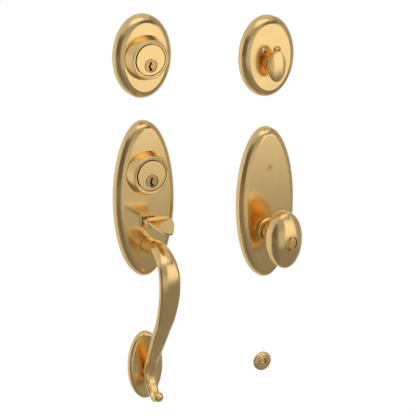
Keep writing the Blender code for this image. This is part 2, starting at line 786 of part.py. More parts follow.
def foot_rose(group):
    """The thin oval rose that the grip's lower post stands on."""
    outline = rim_outline(FOOT_RIM_WALL, FOOT_FACE_OUT, FOOT_INSET)
    inside = [(FOOT_INSET + FOOT_WALL / 2, FOOT_FACE_OUT - FOOT_WALL), (FOOT_WALL, 0.0)]
    rings = [oval_ring(FOOT_HALF_WIDTH, FOOT_HALF_HEIGHT, inset, depth, KNOB_STEPS)
             for inset, depth in inside + outline]
    made = lofted("grip_foot_rose", rings)
    drill(made, SCREW_SHANK_RADIUS + SCREW_GAP, 2 * FOOT_FACE_OUT, -FOOT_FACE_OUT,
          y=GRIP_POST_Y - FOOT_ROSE_Y, steps=SCREW_STEPS)
    return place(made, group, satin_brass, y=FOOT_ROSE_Y)


def latch_opening():
    """Half the width and half the height of the hole that the thumb lever comes through."""
    return BEZEL_HALF_WIDTH - BEZEL_SIDE_BORDER, BEZEL_HALF_HEIGHT - BEZEL_TOP_BORDER


def bezel(group):
    """The rectangular frame that lines the thumb lever's opening."""
    wide, tall = BEZEL_HALF_WIDTH, BEZEL_HALF_HEIGHT
    inner_wide, inner_tall = latch_opening()
    front = FACE_OUT + BEZEL_OUT
    made = block("latch_bezel", (-wide, -tall, FACE_OUT + SEAT_GAP), (wide, tall, front))
    bevel = made.modifiers.new("Soft edge", "BEVEL")
    bevel.width = BEZEL_EDGE
    bevel.segments = 1
    solid = evaluated_copy(made)
    made.modifiers.clear()
    made.data = solid
    lined_wide = inner_wide + BEZEL_LINING
    lined_tall = inner_tall + BEZEL_LINING
    middle = front - BEZEL_OUT / 2
    low = middle - BEZEL_DEPTH
    join(made, block("lining", (-lined_wide, -lined_tall, low), (lined_wide, lined_tall, middle)))
    cut(made, block("opening", (-inner_wide, -inner_tall, -FACE_OUT), (inner_wide, inner_tall, 2 * FACE_OUT)))
    return place(made, group, satin_brass, y=LATCH_Y)


def lever_stations():
    """The lever's path from its tail inside the door to its tip: out, rise and half width.

    Beyond the root, out is in shares of the way from root to tip, rise and width in shares of the most.
    """
    tail = LEVER_TAIL_HALF_WIDTH
    rise = LEVER_TAIL_RISE
    stations = [(-LEVER_TAIL_REACH, rise, tail), (-LEVER_TAIL_REACH / 2, rise, tail), (0.0, rise, tail),
                (PIN_OUT + LEVER_EYE_RADIUS, rise, tail),
                (FACE_OUT, LEVER_ROOT_RISE / 2, LEVER_ROOT_HALF_WIDTH * 0.9),
                (LEVER_ROOT_OUT, LEVER_ROOT_RISE, LEVER_ROOT_HALF_WIDTH)]
    paddle = [
        (0.113, 0.53, 0.48), (0.226, 0.74, 0.65), (0.36, 0.95, 0.86), (0.49, 1.0, 1.0), (0.60, 0.85, 0.98),
        (0.71, 0.60, 0.87), (0.81, 0.35, 0.70), (0.905, 0.14, 0.49), (0.97, 0.01, 0.27), (1.0, -0.04, 0.08),
    ]
    length = LEVER_REACH - LEVER_ROOT_OUT
    for along, high, wide in paddle:
        stations.append((LEVER_ROOT_OUT + length * along, LEVER_RISE * high, LEVER_BROAD_HALF_WIDTH * wide))
    return stations


def thumb_lever(group):
    """The arched thumb piece, one casting with its flange and the tail that lifts the latch."""
    columns = 5
    shape = bmesh.new()
    rows = []
    for out, rise, half_width in smooth_path(lever_stations(), 2):
        row = []
        for column in range(columns):
            share = 2 * column / (columns - 1) - 1
            crown = LEVER_CROWN * (1 - share * share) * min(1.0, half_width / LEVER_BROAD_HALF_WIDTH)
            row.append(shape.verts.new((half_width * share, rise + crown, out)))
        rows.append(row)
    for near, far in zip(rows, rows[1:]):
        for column in range(columns - 1):
            shape.faces.new((near[column], near[column + 1], far[column + 1], far[column]))
    made = object_from_bmesh("thumb_lever", shape)
    thick = made.modifiers.new("Thickness", "SOLIDIFY")
    thick.thickness = LEVER_THICKNESS
    thick.offset = 0.0
    solid = evaluated_copy(made)
    made.modifiers.clear()
    made.data = solid
    flange_half = LEVER_ROOT_HALF_WIDTH - SEAT_GAP
    join(made, block("flange", (-flange_half, -FLANGE_DROP, FLANGE_OUT),
                     (flange_half, LEVER_ROOT_RISE, FLANGE_OUT + FLANGE_THICKNESS)))
    eye_half = LEVER_TAIL_HALF_WIDTH - SEAT_GAP
    eye = turned_solid("eye", [(LEVER_EYE_RADIUS, eye_half), (LEVER_EYE_RADIUS, -eye_half)], SMALL_STEPS)
    eye.data.transform(sideways(PIN_OUT))
    join(made, eye)
    bore = PIN_RADIUS + RUN_GAP
    hole_half = 2 * LEVER_TAIL_HALF_WIDTH
    pin_hole = turned_solid("pin_hole", [(bore, hole_half), (bore, -hole_half)], SMALL_STEPS)
    pin_hole.data.transform(sideways(PIN_OUT))
    cut(made, pin_hole)
    return place(made, group, satin_brass, y=LATCH_Y)


def sideways(out):
    """Turns a piece drawn along z so that it lies along x, at a depth out from the door."""
    return Matrix.Translation((0.0, 0.0, out)) @ Matrix.Rotation(math.pi / 2, 4, "Y")


def lever_carrier(group):
    """A small steel channel behind the plate, with the pin and the spring that lifts the lever."""
    wide, tall = BRACKET_HALF_WIDTH, BRACKET_HALF_HEIGHT
    roof = FACE_OUT - ROOF_WALL - SEAT_GAP
    made = block("lever_bracket", (-wide, -tall, BRACKET_BACK), (wide, tall, roof))
    inner = wide - BRACKET_WALL
    low, high = BRACKET_BACK + BRACKET_BASE, roof - BRACKET_BASE
    cut(made, block("gap", (-inner, -tall * 2, low), (inner, tall * 2, high)))
    window_wide = LEVER_TAIL_HALF_WIDTH + 4 * SEAT_GAP
    window_tall = BRACKET_WINDOW_HALF_HEIGHT
    front = 2 * FACE_OUT
    cut(made, block("window", (-window_wide, -window_tall, -FACE_OUT), (window_wide, window_tall, front)))
    bore = PIN_RADIUS + SEAT_GAP
    hole = turned_solid("hole", [(bore, 2 * wide), (bore, -2 * wide)], SMALL_STEPS)
    hole.data.transform(sideways(PIN_OUT))
    cut(made, hole)
    place(made, group, steel, y=LATCH_Y)
    pin_ends = [(PIN_RADIUS, PIN_HALF_LENGTH), (PIN_RADIUS, -PIN_HALF_LENGTH)]
    pin = turned_solid("lever_pivot_pin", pin_ends, SMALL_STEPS)
    pin.data.transform(sideways(PIN_OUT))
    place(pin, group, steel, y=LATCH_Y)
    lever_spring(group)


def lever_spring(group):
    """A torsion spring wound round the pin beside the lever's eye."""
    radius = PIN_RADIUS + SPRING_WIRE + RUN_GAP
    start = LEVER_TAIL_HALF_WIDTH + 3 * RUN_GAP + SPRING_WIRE
    pitch = 2.6 * SPRING_WIRE
    count = SPRING_TURNS * 8
    curve = bpy.data.curves.new("lever_spring", "CURVE")
    curve.dimensions = "3D"
    curve.bevel_depth = SPRING_WIRE
    curve.bevel_resolution = 1
    curve.use_fill_caps = True
    spline = curve.splines.new("POLY")
    spline.points.add(count)
    for index, point in enumerate(spline.points):
        turn = math.tau * index / 8
        along = start + pitch * index / 8
        point.co = (along, radius * math.sin(turn), PIN_OUT + radius * math.cos(turn), 1.0)
    made = bpy.data.objects.new("lever_spring_wire", curve)
    parts.objects.link(made)
    mesh = evaluated_copy(made)
    bpy.data.objects.remove(made, do_unlink=True)
    shape = bmesh.new()
    shape.from_mesh(mesh)
    bmesh.ops.remove_doubles(shape, verts=shape.verts, dist=0.000001)
    return place(object_from_bmesh("lever_spring", shape), group, steel, y=LATCH_Y)


def cross_rib():
    """The cast rib across the hollow of the long plate. Its back is flat and meets the door."""
    low = PLATE_HALF_WIDTH - SHELL_WALL / 2
    high = PLATE_HALF_WIDTH - FACE_INSET - SHELL_WALL / 2
    half = [(low, 0.0), (low, RIM_WALL / 2), (high, FACE_OUT - ROOF_WALL / 2)]
    outline = half + [(-across, out) for across, out in reversed(half)]
    made = prism("rib", outline, RIB_HALF_WIDTH, -RIB_HALF_WIDTH)
    made.data.transform(Matrix.Rotation(math.pi / 2, 4, "X"))
    return made


def handle_outer(group):
    plate = oval_shell("handle_outer_plate", PLATE_HALF_WIDTH, PLATE_HALF_HEIGHT)
    join(plate, cross_rib())
    drill(plate, CYLINDER_NECK_RADIUS + SEAT_GAP, 2 * FACE_OUT, -FACE_OUT, y=HANDLE_CYLINDER_Y,
          steps=ROUND_STEPS)
    inner_wide, inner_tall = latch_opening()
    wide = inner_wide + BEZEL_LINING + SEAT_GAP
    tall = inner_tall + BEZEL_LINING + SEAT_GAP
    cut(plate, block("slot", (-wide, LATCH_Y - tall, -FACE_OUT), (wide, LATCH_Y + tall, 2 * FACE_OUT)))
    drill(plate, SCREW_SHANK_RADIUS + SCREW_GAP, 2 * FACE_OUT, -FACE_OUT, y=GRIP_NECK_Y,
          steps=SCREW_STEPS)
    place(plate, group, satin_brass)
    cylinder_set("handle", group, HANDLE_CYLINDER_Y, "handle_outer_collar", "handle_cylinder_housing",
                 HANDLE_TAIL_REACH)
    bezel(group)
    lever_carrier(group)
    thumb_lever(group)
    grip(group)
    foot_rose(group)


def egg_knob(group):
    """The oval knob: a short flared back, a rim and a long domed front, bored for the turn button."""
    wide, tall = KNOB_HALF_WIDTH, KNOB_HALF_HEIGHT
    depth = KNOB_FRONT - KNOB_BACK
    back = [(0.52, 0.44, 0.0), (0.74, 0.68, 0.05), (0.90, 0.87, 0.14), (0.975, 0.965, 0.25), (1.0, 1.0, 0.37)]
    rings = [oval_ring(wide * x, tall * y, 0.0, KNOB_BACK + depth * out, KNOB_STEPS) for x, y, out in back]
    rim = KNOB_BACK + depth * back[-1][2]
    for degrees in (14, 28, 41, 53, 64, 74, 82):
        angle = math.radians(degrees)
        share = math.cos(angle)
        out = rim + (KNOB_FRONT - rim) * math.sin(angle)
        rings.append(oval_ring(wide * share, tall * share, 0.0, out, KNOB_STEPS))
    made = lofted("egg_knob", rings)
    bore = [
        (BUTTON_RADIUS + RUN_GAP, 2 * KNOB_FRONT),
        (BUTTON_RADIUS + RUN_GAP, BUTTON_FACE - BUTTON_THICKNESS - RUN_GAP),
        (BUTTON_ROD_RADIUS + RUN_GAP, BUTTON_FACE - BUTTON_THICKNESS - RUN_GAP),
        (BUTTON_ROD_RADIUS + RUN_GAP, 0.0),
    ]
    cut(made, turned_solid("bore", bore, BORE_STEPS))
    cut(made, set_screw_shape("set_screw_hole", SET_SCREW_RADIUS + RUN_GAP, 2 * tall,
                              SET_SCREW_TIP - RUN_GAP))
    return place(made, group, satin_brass, y=-KNOB_DROP)


def set_screw_shape(name, radius, far, near):
    """A round bar from the knob's axis downwards, at the depth of the set screw."""
    made = turned_solid(name, [(radius, far), (radius, near)], 10)
    made.data.transform(Matrix.Translation((0.0, 0.0, SET_SCREW_OUT)) @ Matrix.Rotation(math.pi / 2, 4, "X"))
    return made


def knob_parts(group):
    y = -KNOB_DROP
    shank_bore = SHANK_RADIUS + RUN_GAP
    front = FACE_OUT + KNOB_COLLAR_OUT
    ring = [
        (shank_bore, front),
        (KNOB_COLLAR_RADIUS - KNOB_COLLAR_CHAMFER, front),
        (KNOB_COLLAR_RADIUS, front - KNOB_COLLAR_CHAMFER),
        (KNOB_COLLAR_RADIUS, FACE_OUT + SEAT_GAP),
        (shank_bore, FACE_OUT + SEAT_GAP),
    ]
    place(turned("knob_collar", ring, 28), group, satin_brass, y=y)
    knob_seat = KNOB_BACK - SEAT_GAP
    rod_bore = BUTTON_ROD_RADIUS + RUN_GAP
    shank = [
        (rod_bore, knob_seat),
        (SHANK_END_RADIUS, knob_seat),
        (SHANK_WAIST_RADIUS, SHANK_WAIST_OUT),
        (SHANK_END_RADIUS, SHANK_RING_OUT + SHANK_RING_ROOT),
        (SHANK_RING_RADIUS, SHANK_RING_OUT + SHANK_RING_HALF),
        (SHANK_RING_RADIUS, SHANK_RING_OUT - SHANK_RING_HALF),
        (SHANK_RADIUS, SHANK_RING_OUT - SHANK_RING_ROOT),
        (SHANK_RADIUS, SHANK_BACK),
        (rod_bore, SHANK_BACK),
    ]
    made = turned("knob_shank", shank, 28)
    place(made, group, satin_brass, y=y)
    egg_knob(group)
    screw = set_screw_shape("knob_set_screw", SET_SCREW_RADIUS, KNOB_HALF_HEIGHT * 0.6, SET_SCREW_TIP)
    place(screw, group, steel, y=y)
    button(group)
    half = SPINDLE_SIDE / 2
    bar = block("knob_spindle", (-half, -half, -SPINDLE_REACH), (half, half, SHANK_BACK - SEAT_GAP))
    drill(bar, rod_bore, FACE_OUT, -2 * SPINDLE_REACH, steps=SCREW_STEPS)
    place(bar, group, steel, y=y)
    roof = FACE_OUT - ROOF_WALL - SEAT_GAP
    cassette = turned("knob_spring_cassette", [
        (shank_bore, roof), (CASSETTE_RADIUS, roof), (CASSETTE_RADIUS, roof - CASSETTE_THICKNESS),
        (shank_bore, roof - CASSETTE_THICKNESS)], BORE_STEPS)
    place(cassette, group, steel, y=y)
    ring_front = roof - CASSETTE_THICKNESS - RUN_GAP
    groove = turned("knob_retaining_ring", [
        (shank_bore, ring_front), (SHANK_RADIUS + 2 * CLIP_WALL, ring_front),
        (SHANK_RADIUS + 2 * CLIP_WALL, ring_front - CLIP_THICKNESS),
        (shank_bore, ring_front - CLIP_THICKNESS)], BORE_STEPS)
    place(groove, group, steel, y=y)


def button(group):
    """The turn button in the knob's nose, with its raised bar, and the rod behind it."""
    back = BUTTON_FACE - BUTTON_THICKNESS
    edge = [(BUTTON_RADIUS - BUTTON_EDGE, BUTTON_FACE), (BUTTON_RADIUS, BUTTON_FACE - BUTTON_EDGE)]
    made = turned_solid("turn_button", [*edge, (BUTTON_RADIUS, back)], BORE_STEPS)
    top = BUTTON_FACE + BUTTON_BAR_RISE
    sections = [(0.0, BUTTON_FACE - BUTTON_EDGE), (0.0, top - BUTTON_BAR_ROUND),
                (BUTTON_BAR_ROUND / 3, top - BUTTON_BAR_ROUND / 3), (BUTTON_BAR_ROUND, top)]
    across, upwards = Vector((1.0, 0.0, 0.0)), Vector((0.0, 1.0, 0.0))
    rings = [section_ring(Vector((0.0, 0.0, out)), across, upwards, BUTTON_BAR_HALF_WIDTH - inset,
                          BUTTON_BAR_HALF_LENGTH - inset, 3.0, GRIP_STEPS) for inset, out in sections]
    join(made, lofted("bar", rings))
    place(made, group, satin_brass, y=-KNOB_DROP)
    rod_end = -SPINDLE_REACH - BUTTON_THICKNESS
    rod_ends = [(BUTTON_ROD_RADIUS, back - SEAT_GAP), (BUTTON_ROD_RADIUS, rod_end)]
    rod = turned_solid("turn_button_rod", rod_ends, SCREW_STEPS)
    place(rod, group, steel, y=-KNOB_DROP)


def handle_inner(group):
    plate = oval_shell("handle_inner_plate", PLATE_HALF_WIDTH, PLATE_HALF_HEIGHT)
    drill(plate, SHANK_RADIUS + RUN_GAP, 2 * FACE_OUT, -FACE_OUT, y=-KNOB_DROP, steps=BORE_STEPS)
    for name, y in (("plate_screw_upper", PLATE_SCREW_RISE), ("plate_screw_lower", -PLATE_SCREW_DROP)):
        countersink(plate, 0.0, y, FACE_OUT, PLATE_SCREW_HEAD)
        flush_screw(name, group, 0.0, y, FACE_OUT, PLATE_SCREW_HEAD, PLATE_SCREW_REACH)
    place(plate, group, satin_brass)
    knob_parts(group)


def foot_fixing(group):
    """The stepped rosette and screw that hold the grip's foot through the door."""
    screw_bore = SCREW_SHANK_RADIUS + SCREW_GAP
    wide = ROSETTE_RADIUS
    pocket = ROSETTE_SCREW_HEAD + SCREW_GAP
    rings = [
        (screw_bore, ROSETTE_OUT - ROSETTE_POCKET),
        (pocket, ROSETTE_OUT - ROSETTE_POCKET),
        (pocket, ROSETTE_OUT),
        (wide * 0.50, ROSETTE_OUT),
        (wide * 0.56, ROSETTE_OUT - ROSETTE_STEP),
        (wide * 0.72, ROSETTE_OUT - ROSETTE_STEP),
        (wide * 0.82, ROSETTE_OUT - 2 * ROSETTE_STEP),
        (wide * 0.94, ROSETTE_OUT - 2.5 * ROSETTE_STEP),
        (wide, ROSETTE_OUT - 3.5 * ROSETTE_STEP),
        (wide, 0.0),
        (screw_bore, 0.0),
    ]
    place(turned("foot_rosette", rings, 28), group, satin_brass)
    domed_screw("foot_through_screw", group, 0.0, 0.0, ROSETTE_OUT - ROSETTE_POCKET + SEAT_GAP,
                ROSETTE_SCREW_HEAD, ROSETTE_SCREW_DOME, FOOT_SCREW_REACH)


clear_scene()
parts = new_collection(PARTS)
cutters = new_collection(CUTTERS)
satin_brass = new_material("satin_brass", (0.66, 0.45, 0.19), 0.33)
plug_brass = new_material("plug_brass", (0.48, 0.38, 0.17), 0.36)
steel = new_material("steel", (0.55, 0.55, 0.56), 0.35)

door_plane = new_empty("door_plane", None)
door_plane.rotation_euler = (math.pi / 2, 0.0, 0.0)
deadbolt_outer(new_empty("deadbolt_outdoor_side", door_plane, 0.0, OUTER_ROSE_Y))
handle_outer(new_empty("handle_outdoor_side", door_plane))
deadbolt_inner(new_empty("deadbolt_indoor_side", door_plane, INDOOR_X, INNER_ROSE_Y))
handle_inner(new_empty("handle_indoor_side", door_plane, INDOOR_X, INNER_PLATE_Y))
foot_fixing(new_empty("foot_indoor_side", door_plane, INDOOR_X, FOOT_ROSETTE_Y))
bpy.context.view_layer.update()
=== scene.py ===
"""Looks of the entry door handleset: finely drawn metal pieces round the frame, light, floor and camera.

Each piece is drawn in face coordinates, x right, y up and z out of the door, and then stood on its place.
Lengths are metres.
"""
import json
import math

import bmesh
import bpy
from mathutils import Matrix, Vector


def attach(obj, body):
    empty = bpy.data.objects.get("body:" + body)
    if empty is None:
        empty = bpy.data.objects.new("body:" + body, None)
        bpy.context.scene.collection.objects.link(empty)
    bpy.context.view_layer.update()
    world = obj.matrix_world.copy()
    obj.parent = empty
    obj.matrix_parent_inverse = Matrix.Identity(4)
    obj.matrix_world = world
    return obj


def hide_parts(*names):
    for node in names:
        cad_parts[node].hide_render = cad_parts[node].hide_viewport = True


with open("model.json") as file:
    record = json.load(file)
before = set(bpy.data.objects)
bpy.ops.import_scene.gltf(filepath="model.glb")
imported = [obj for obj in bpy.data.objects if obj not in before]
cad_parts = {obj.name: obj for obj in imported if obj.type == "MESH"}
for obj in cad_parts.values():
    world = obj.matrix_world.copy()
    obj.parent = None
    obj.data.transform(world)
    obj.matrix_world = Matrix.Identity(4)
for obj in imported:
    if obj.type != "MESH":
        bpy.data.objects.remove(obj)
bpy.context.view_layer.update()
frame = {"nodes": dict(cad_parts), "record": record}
bodies = frame["record"]["behaviour"]["bodies"]
body_of_node = {node: body for body, nodes in bodies.items() for node in nodes}
slot_of_node = {row["node"]: row["material_slot"] for row in frame["record"]["subparts"]}

# Layout on the door plane
INDOOR_X = 0.1515
OUTER_ROSE_Y = 0.1600
INNER_ROSE_Y = 0.1442
INNER_PLATE_Y = -0.0258
FOOT_ROSETTE_Y = -0.2220

# Gaps that touching and running pieces keep
SEAT_GAP = 0.0003
RUN_GAP = 0.0003
SCREW_GAP = 0.0004

# Oval roses and long plates
ROSE_HALF_WIDTH = 0.0332
ROSE_HALF_HEIGHT = 0.0455
PLATE_HALF_WIDTH = 0.0354
PLATE_HALF_HEIGHT = 0.0885
FACE_OUT = 0.0134
FACE_SEAT = FACE_OUT + SEAT_GAP
RIM_WALL = 0.0070
FACE_INSET = 0.0080
SHELL_WALL = 0.0030
ROOF_WALL = 0.0030
RIB_HALF_WIDTH = 0.0060

# Cylinder set: collar, housing and plug
CYLINDER_FRONT = 0.0261
COLLAR_BASE_RADIUS = 0.0246
COLLAR_FRONT_RADIUS = 0.02115
COLLAR_LIP_WIDTH = 0.0013
COLLAR_BEVEL_WIDTH = 0.0008
COLLAR_BEVEL_DROP = 0.0006
CYLINDER_HEAD_RADIUS = 0.0179
CYLINDER_NECK_RADIUS = 0.0145
CYLINDER_BACK = -0.0090
PLUG_DROP = 0.0062
PLUG_HEAD_RADIUS = 0.00685
PLUG_HEAD_LENGTH = 0.0022
PLUG_BODY_RADIUS = 0.0060
PLUG_RECESS = 0.0002
CAP_LENGTH = 0.0040
CAP_LIP = 0.0010
TAIL_DISC_THICKNESS = 0.0012
POST_RADIUS = 0.0030
POST_SPREAD = 0.0112
POST_REACH = 0.0190
KEYWAY_WIDTH = 0.0023
KEYWAY_HEIGHT = 0.0096
KEYWAY_STEP = 0.0013
KEYWAY_FOOT_WIDTH = 0.0036
KEYWAY_DEPTH = 0.0240
HANDLE_CYLINDER_Y = 0.0322

# Indoor deadbolt turn
TURN_DROP = 0.0066
TURN_HALF_WIDTH = 0.0106
TURN_HALF_HEIGHT = 0.0179
TURN_BACK = 0.0240
TURN_BACK_INSET = 0.0032
TURN_BACK_ROUND = 0.0026
TURN_SIDE = 0.0288
TURN_RIM_STEP = 0.0006
TURN_FRONT = 0.0335
TURN_STEM_RADIUS = 0.0045
TURN_STEM_REACH = 0.0080
TURN_SLOT_WIDTH = 0.0024
TURN_SLOT_DEPTH = 0.0060
BUSHING_RADIUS = 0.0081
BUSHING_OUT = 0.0030
BUSHING_CHAMFER = 0.0006
ROSE_SCREW_SPREAD = 0.0083
ROSE_SCREW_RISE = 0.0082
ROSE_SCREW_HEAD = 0.0041
ROSE_SCREW_DOME = 0.0021
SCREW_SHANK_RADIUS = 0.0019
SCREW_BORE = SCREW_SHANK_RADIUS + SCREW_GAP
ROSE_SCREW_REACH = 0.0300
CLIP_WALL = 0.0014

# Thumb lever and what carries it
LATCH_Y = -0.0208
BEZEL_HALF_WIDTH = 0.0094
BEZEL_HALF_HEIGHT = 0.0051
BEZEL_SIDE_BORDER = 0.0022
BEZEL_TOP_BORDER = 0.0017
BEZEL_OUT = 0.0015
BEZEL_EDGE = 0.0004
BEZEL_LINING = 0.0008
BEZEL_DEPTH = 0.0020
LEVER_THICKNESS = 0.0026
LEVER_TAIL_HALF_WIDTH = 0.0030
LEVER_TAIL_REACH = 0.0240
LEVER_TAIL_RISE = 0.0005
LEVER_ROOT_OUT = 0.0180
LEVER_ROOT_HALF_WIDTH = 0.0049
LEVER_ROOT_RISE = 0.0022
LEVER_REACH = 0.0710
LEVER_RISE = 0.0074
LEVER_BROAD_HALF_WIDTH = 0.0132
LEVER_EYE_RADIUS = 0.0032
FLANGE_OUT = 0.0170
FLANGE_THICKNESS = 0.0026
FLANGE_DROP = 0.0090
PIN_RADIUS = 0.0015
PIN_OUT = 0.0060

# Grip
GRIP_NECK_Y = -0.0504
GRIP_REACH = 0.0686
GRIP_FOOT_DEPTH = 0.0144
NECK_RADIUS = 0.0089
GRIP_BROAD_HALF_WIDTH = 0.0123
GRIP_BROAD_HALF_DEPTH = 0.0058
GRIP_FOOT_HALF_WIDTH = 0.0067
GRIP_FOOT_HALF_DEPTH = 0.0034
HOOK_HALF_WIDTH = 0.0050
HOOK_HALF_DEPTH = 0.0012
BALL_RADIUS = 0.0060
BALL_Y = -0.2234
BALL_OUT = 0.0360
GRIP_POST_RADIUS = 0.0043
GRIP_POST_Y = -0.2040
GRIP_SCREW_DEPTH = 0.0160
FOOT_ROSE_Y = -0.1966
FOOT_HALF_WIDTH = 0.0206
FOOT_HALF_HEIGHT = 0.0402
FOOT_FACE_OUT = 0.0074
FOOT_INSET = 0.0034
FOOT_WALL = 0.0024

# Knob
KNOB_DROP = 0.0310
KNOB_COLLAR_RADIUS = 0.0150
KNOB_COLLAR_OUT = 0.0022
KNOB_COLLAR_CHAMFER = 0.0015
SHANK_RADIUS = 0.0100
SHANK_WAIST_RADIUS = 0.0080
SHANK_END_RADIUS = 0.0092
SHANK_RING_RADIUS = 0.0124
SHANK_RING_OUT = 0.0238
SHANK_RING_HALF = 0.0016
SHANK_RING_ROOT = 0.0018
SHANK_WAIST_OUT = 0.0288
SHANK_BACK = 0.0020
KNOB_HALF_WIDTH = 0.0206
KNOB_HALF_HEIGHT = 0.0331
KNOB_BACK = 0.0345
KNOB_FRONT = 0.0660
BUTTON_RADIUS = 0.0078
BUTTON_FACE = 0.0644
BUTTON_THICKNESS = 0.0050
BUTTON_EDGE = 0.0008
BUTTON_BAR_HALF_WIDTH = 0.0025
BUTTON_BAR_HALF_LENGTH = 0.0068
BUTTON_BAR_RISE = 0.0042
BUTTON_BAR_ROUND = 0.0017
BUTTON_ROD_RADIUS = 0.0016
SET_SCREW_RADIUS = 0.0016
SET_SCREW_OUT = 0.0425
SET_SCREW_TIP = BUTTON_ROD_RADIUS + 4 * RUN_GAP
PLATE_SCREW_RISE = 0.0443
PLATE_SCREW_DROP = 0.0564
PLATE_SCREW_HEAD = 0.0034
PLATE_SCREW_REACH = 0.0350

# Foot rosette
ROSETTE_RADIUS = 0.01135
ROSETTE_OUT = 0.0047
ROSETTE_STEP = 0.0008
ROSETTE_POCKET = 0.0022
ROSETTE_SCREW_HEAD = 0.0034
ROSETTE_SCREW_DOME = 0.0016
FOOT_SCREW_REACH = 0.0130

# Facets round each kind of shape
OVAL_STEPS = 192
ROUND_STEPS = 96
SMALL_STEPS = 48
TURN_STEPS = 72
KNOB_STEPS = 96
GRIP_STEPS = 56
SCREW_STEPS = 32
ARC_STEPS = 6
RIM_STEPS = 5

# Rounding of machined edges, the most of an edge that it takes, and the gap closed on a turned piece's axis
EDGE_SOFT = 0.00035
CORNER_SHARE = 0.45
MERGE_DISTANCE = 0.00001

# Degrees from which an edge stays sharp: on an oval's rim, most pieces, a domed screw, the grip and lever
CRISP = 6.2
SHARP = 32
SHARP_SCREW = 40
SHARP_FREE = 45

# The cylinder's front disc, and the open width of the groove round it
DISC_EDGE = CYLINDER_HEAD_RADIUS - 0.0013
GROOVE_WIDTH = 0.0011

# The turn: groove inside its rim, and the dome's inset and share of the height in front of the rim
TURN_GROOVE_INSET = 1.5 * TURN_RIM_STEP
TURN_DOME_INSET = 2 * TURN_RIM_STEP
TURN_DOME_SHARE = 0.62

# The knob: its back as shares of half width, half height and depth, its side as shares of both, its dome
DOME_RINGS = 22
KNOB_PATH_STEPS = 5
KNOB_BACK_SECTION = [(0.52, 0.44, 0.0), (0.74, 0.68, 0.05), (0.90, 0.87, 0.14), (0.975, 0.965, 0.25),
                     (1.0, 1.0, 0.37)]
KNOB_SIDE_SHARE = 0.40
KNOB_MIDDLE_WIDTH = 0.996
KNOB_SIDE_WIDTH = 0.982
KNOB_DOME_WIDTH = 0.955
KNOB_DOME_POWER = 2.4
KNOB_EDGE = 0.0016

# The button's bar: how square its outline is
BAR_POWER = 3.0

# Lever: half width of the flange, and how finely its path and width are drawn
FLANGE_HALF_WIDTH = 0.0064
LEVER_PATH_STEPS = 6
LEVER_COLUMNS = 13

# Grip: how square its section is, how finely its path is drawn, and the dark joint at its neck
GRIP_CROWN = 0.28
GRIP_PATH_STEPS = 8
JOINT_WIDTH = 0.0006
JOINT_SHARE = 0.93
BALL_ROWS = 22
BALL_POLE = 1

# Screws. Cross, dimple, flush head and its seat are in shares of the head's radius. The dome's outline has
# angles in degrees, a power, and the share of its rise at the foot.
CROSS_HALF = 0.19
CROSS_REACH = 0.66
CROSS_DEPTH = 0.75
CROSS_BAR_DEPTH = 0.7
CROSS_BAR_TOP = 1.1
DIMPLE_TOP = 0.25
DIMPLE_POINT = 0.12
DIMPLE_DEPTH = 0.5
DOME_DEGREES = (84, 70, 56, 42, 28, 14, 4)
DOME_POWER = 0.8
DOME_FOOT = 0.15
FLUSH_HEAD = 0.25
FLUSH_CONE = 0.75
SEAT_CONE = 0.5

# How far the keyway's top stands above the plug's middle, as a share of its height
KEYWAY_TOP = 0.42

# Gaps round a plug and a flush screw head, as they look from outside
PLUG_RING = 0.0006
FINE_GAP = 0.00012

# Rim sections from the wall's top to the face, as shares of the inset and of the depth
RIM_SECTION = [(0.0, 0.44), (0.05, 0.535), (0.17, 0.64), (0.35, 0.765), (0.58, 0.878), (0.81, 0.954),
               (1.0, 1.0)]
FOOT_SECTION = [(0.0, 0.60), (0.06, 0.69), (0.25, 0.80), (0.60, 0.925), (1.0, 1.0)]


def object_from_bmesh(name, shape):
    bmesh.ops.recalc_face_normals(shape, faces=shape.faces)
    mesh = bpy.data.meshes.new(name)
    shape.to_mesh(mesh)
    shape.free()
    made = bpy.data.objects.new(name, mesh)
    bpy.context.scene.collection.objects.link(made)
    return made


def modified(made, kind, **settings):
    """Changes a piece's mesh by one modifier."""
    change = made.modifiers.new(kind, kind)
    for name, value in settings.items():
        setattr(change, name, value)
    bpy.context.view_layer.update()
    graph = bpy.context.evaluated_depsgraph_get()
    solid = bpy.data.meshes.new_from_object(made.evaluated_get(graph))
    made.modifiers.clear()
    old = made.data
    made.data = solid
    bpy.data.meshes.remove(old)
    return made


def softened(profile, size=EDGE_SOFT, closed=True, steps=3):
    """A turned piece's outline with its corners rounded, so that they catch the light."""
    rounded = []
    count = len(profile)
    for index, point in enumerate(profile):
        if not closed and index in (0, count - 1):
            rounded.append(point)
            continue
        here = Vector(point)
        before = Vector(profile[index - 1]) - here
        after = Vector(profile[(index + 1) % count]) - here
        reach = min(size, before.length * CORNER_SHARE, after.length * CORNER_SHARE)
        start = here + before.normalized() * reach
        end = here + after.normalized() * reach
        for step in range(steps + 1):
            t = step / steps
            rounded.append(tuple(start * (1 - t) ** 2 + here * 2 * t * (1 - t) + end * t * t))
    return rounded


def bevelled(made, width, segments=3, angle=40):
    """Rounds a piece's sharp edges."""
    return modified(made, "BEVEL", width=width, segments=segments, limit_method="ANGLE",
                    angle_limit=math.radians(angle), harden_normals=False)


def turned(name, profile, steps=ROUND_STEPS, closed=True):
    """A turned piece. The profile holds (radius, depth) pairs, down its outer side from front to back."""
    shape = bmesh.new()
    points = [shape.verts.new((radius, 0.0, depth)) for radius, depth in profile]
    for first, second in zip(points, points[1:]):
        shape.edges.new((first, second))
    if closed:
        shape.edges.new((points[-1], points[0]))
    return modified(object_from_bmesh(name, shape), "SCREW", axis="Z", angle=math.tau, steps=steps,
                    render_steps=steps, use_merge_vertices=True, merge_threshold=MERGE_DISTANCE)


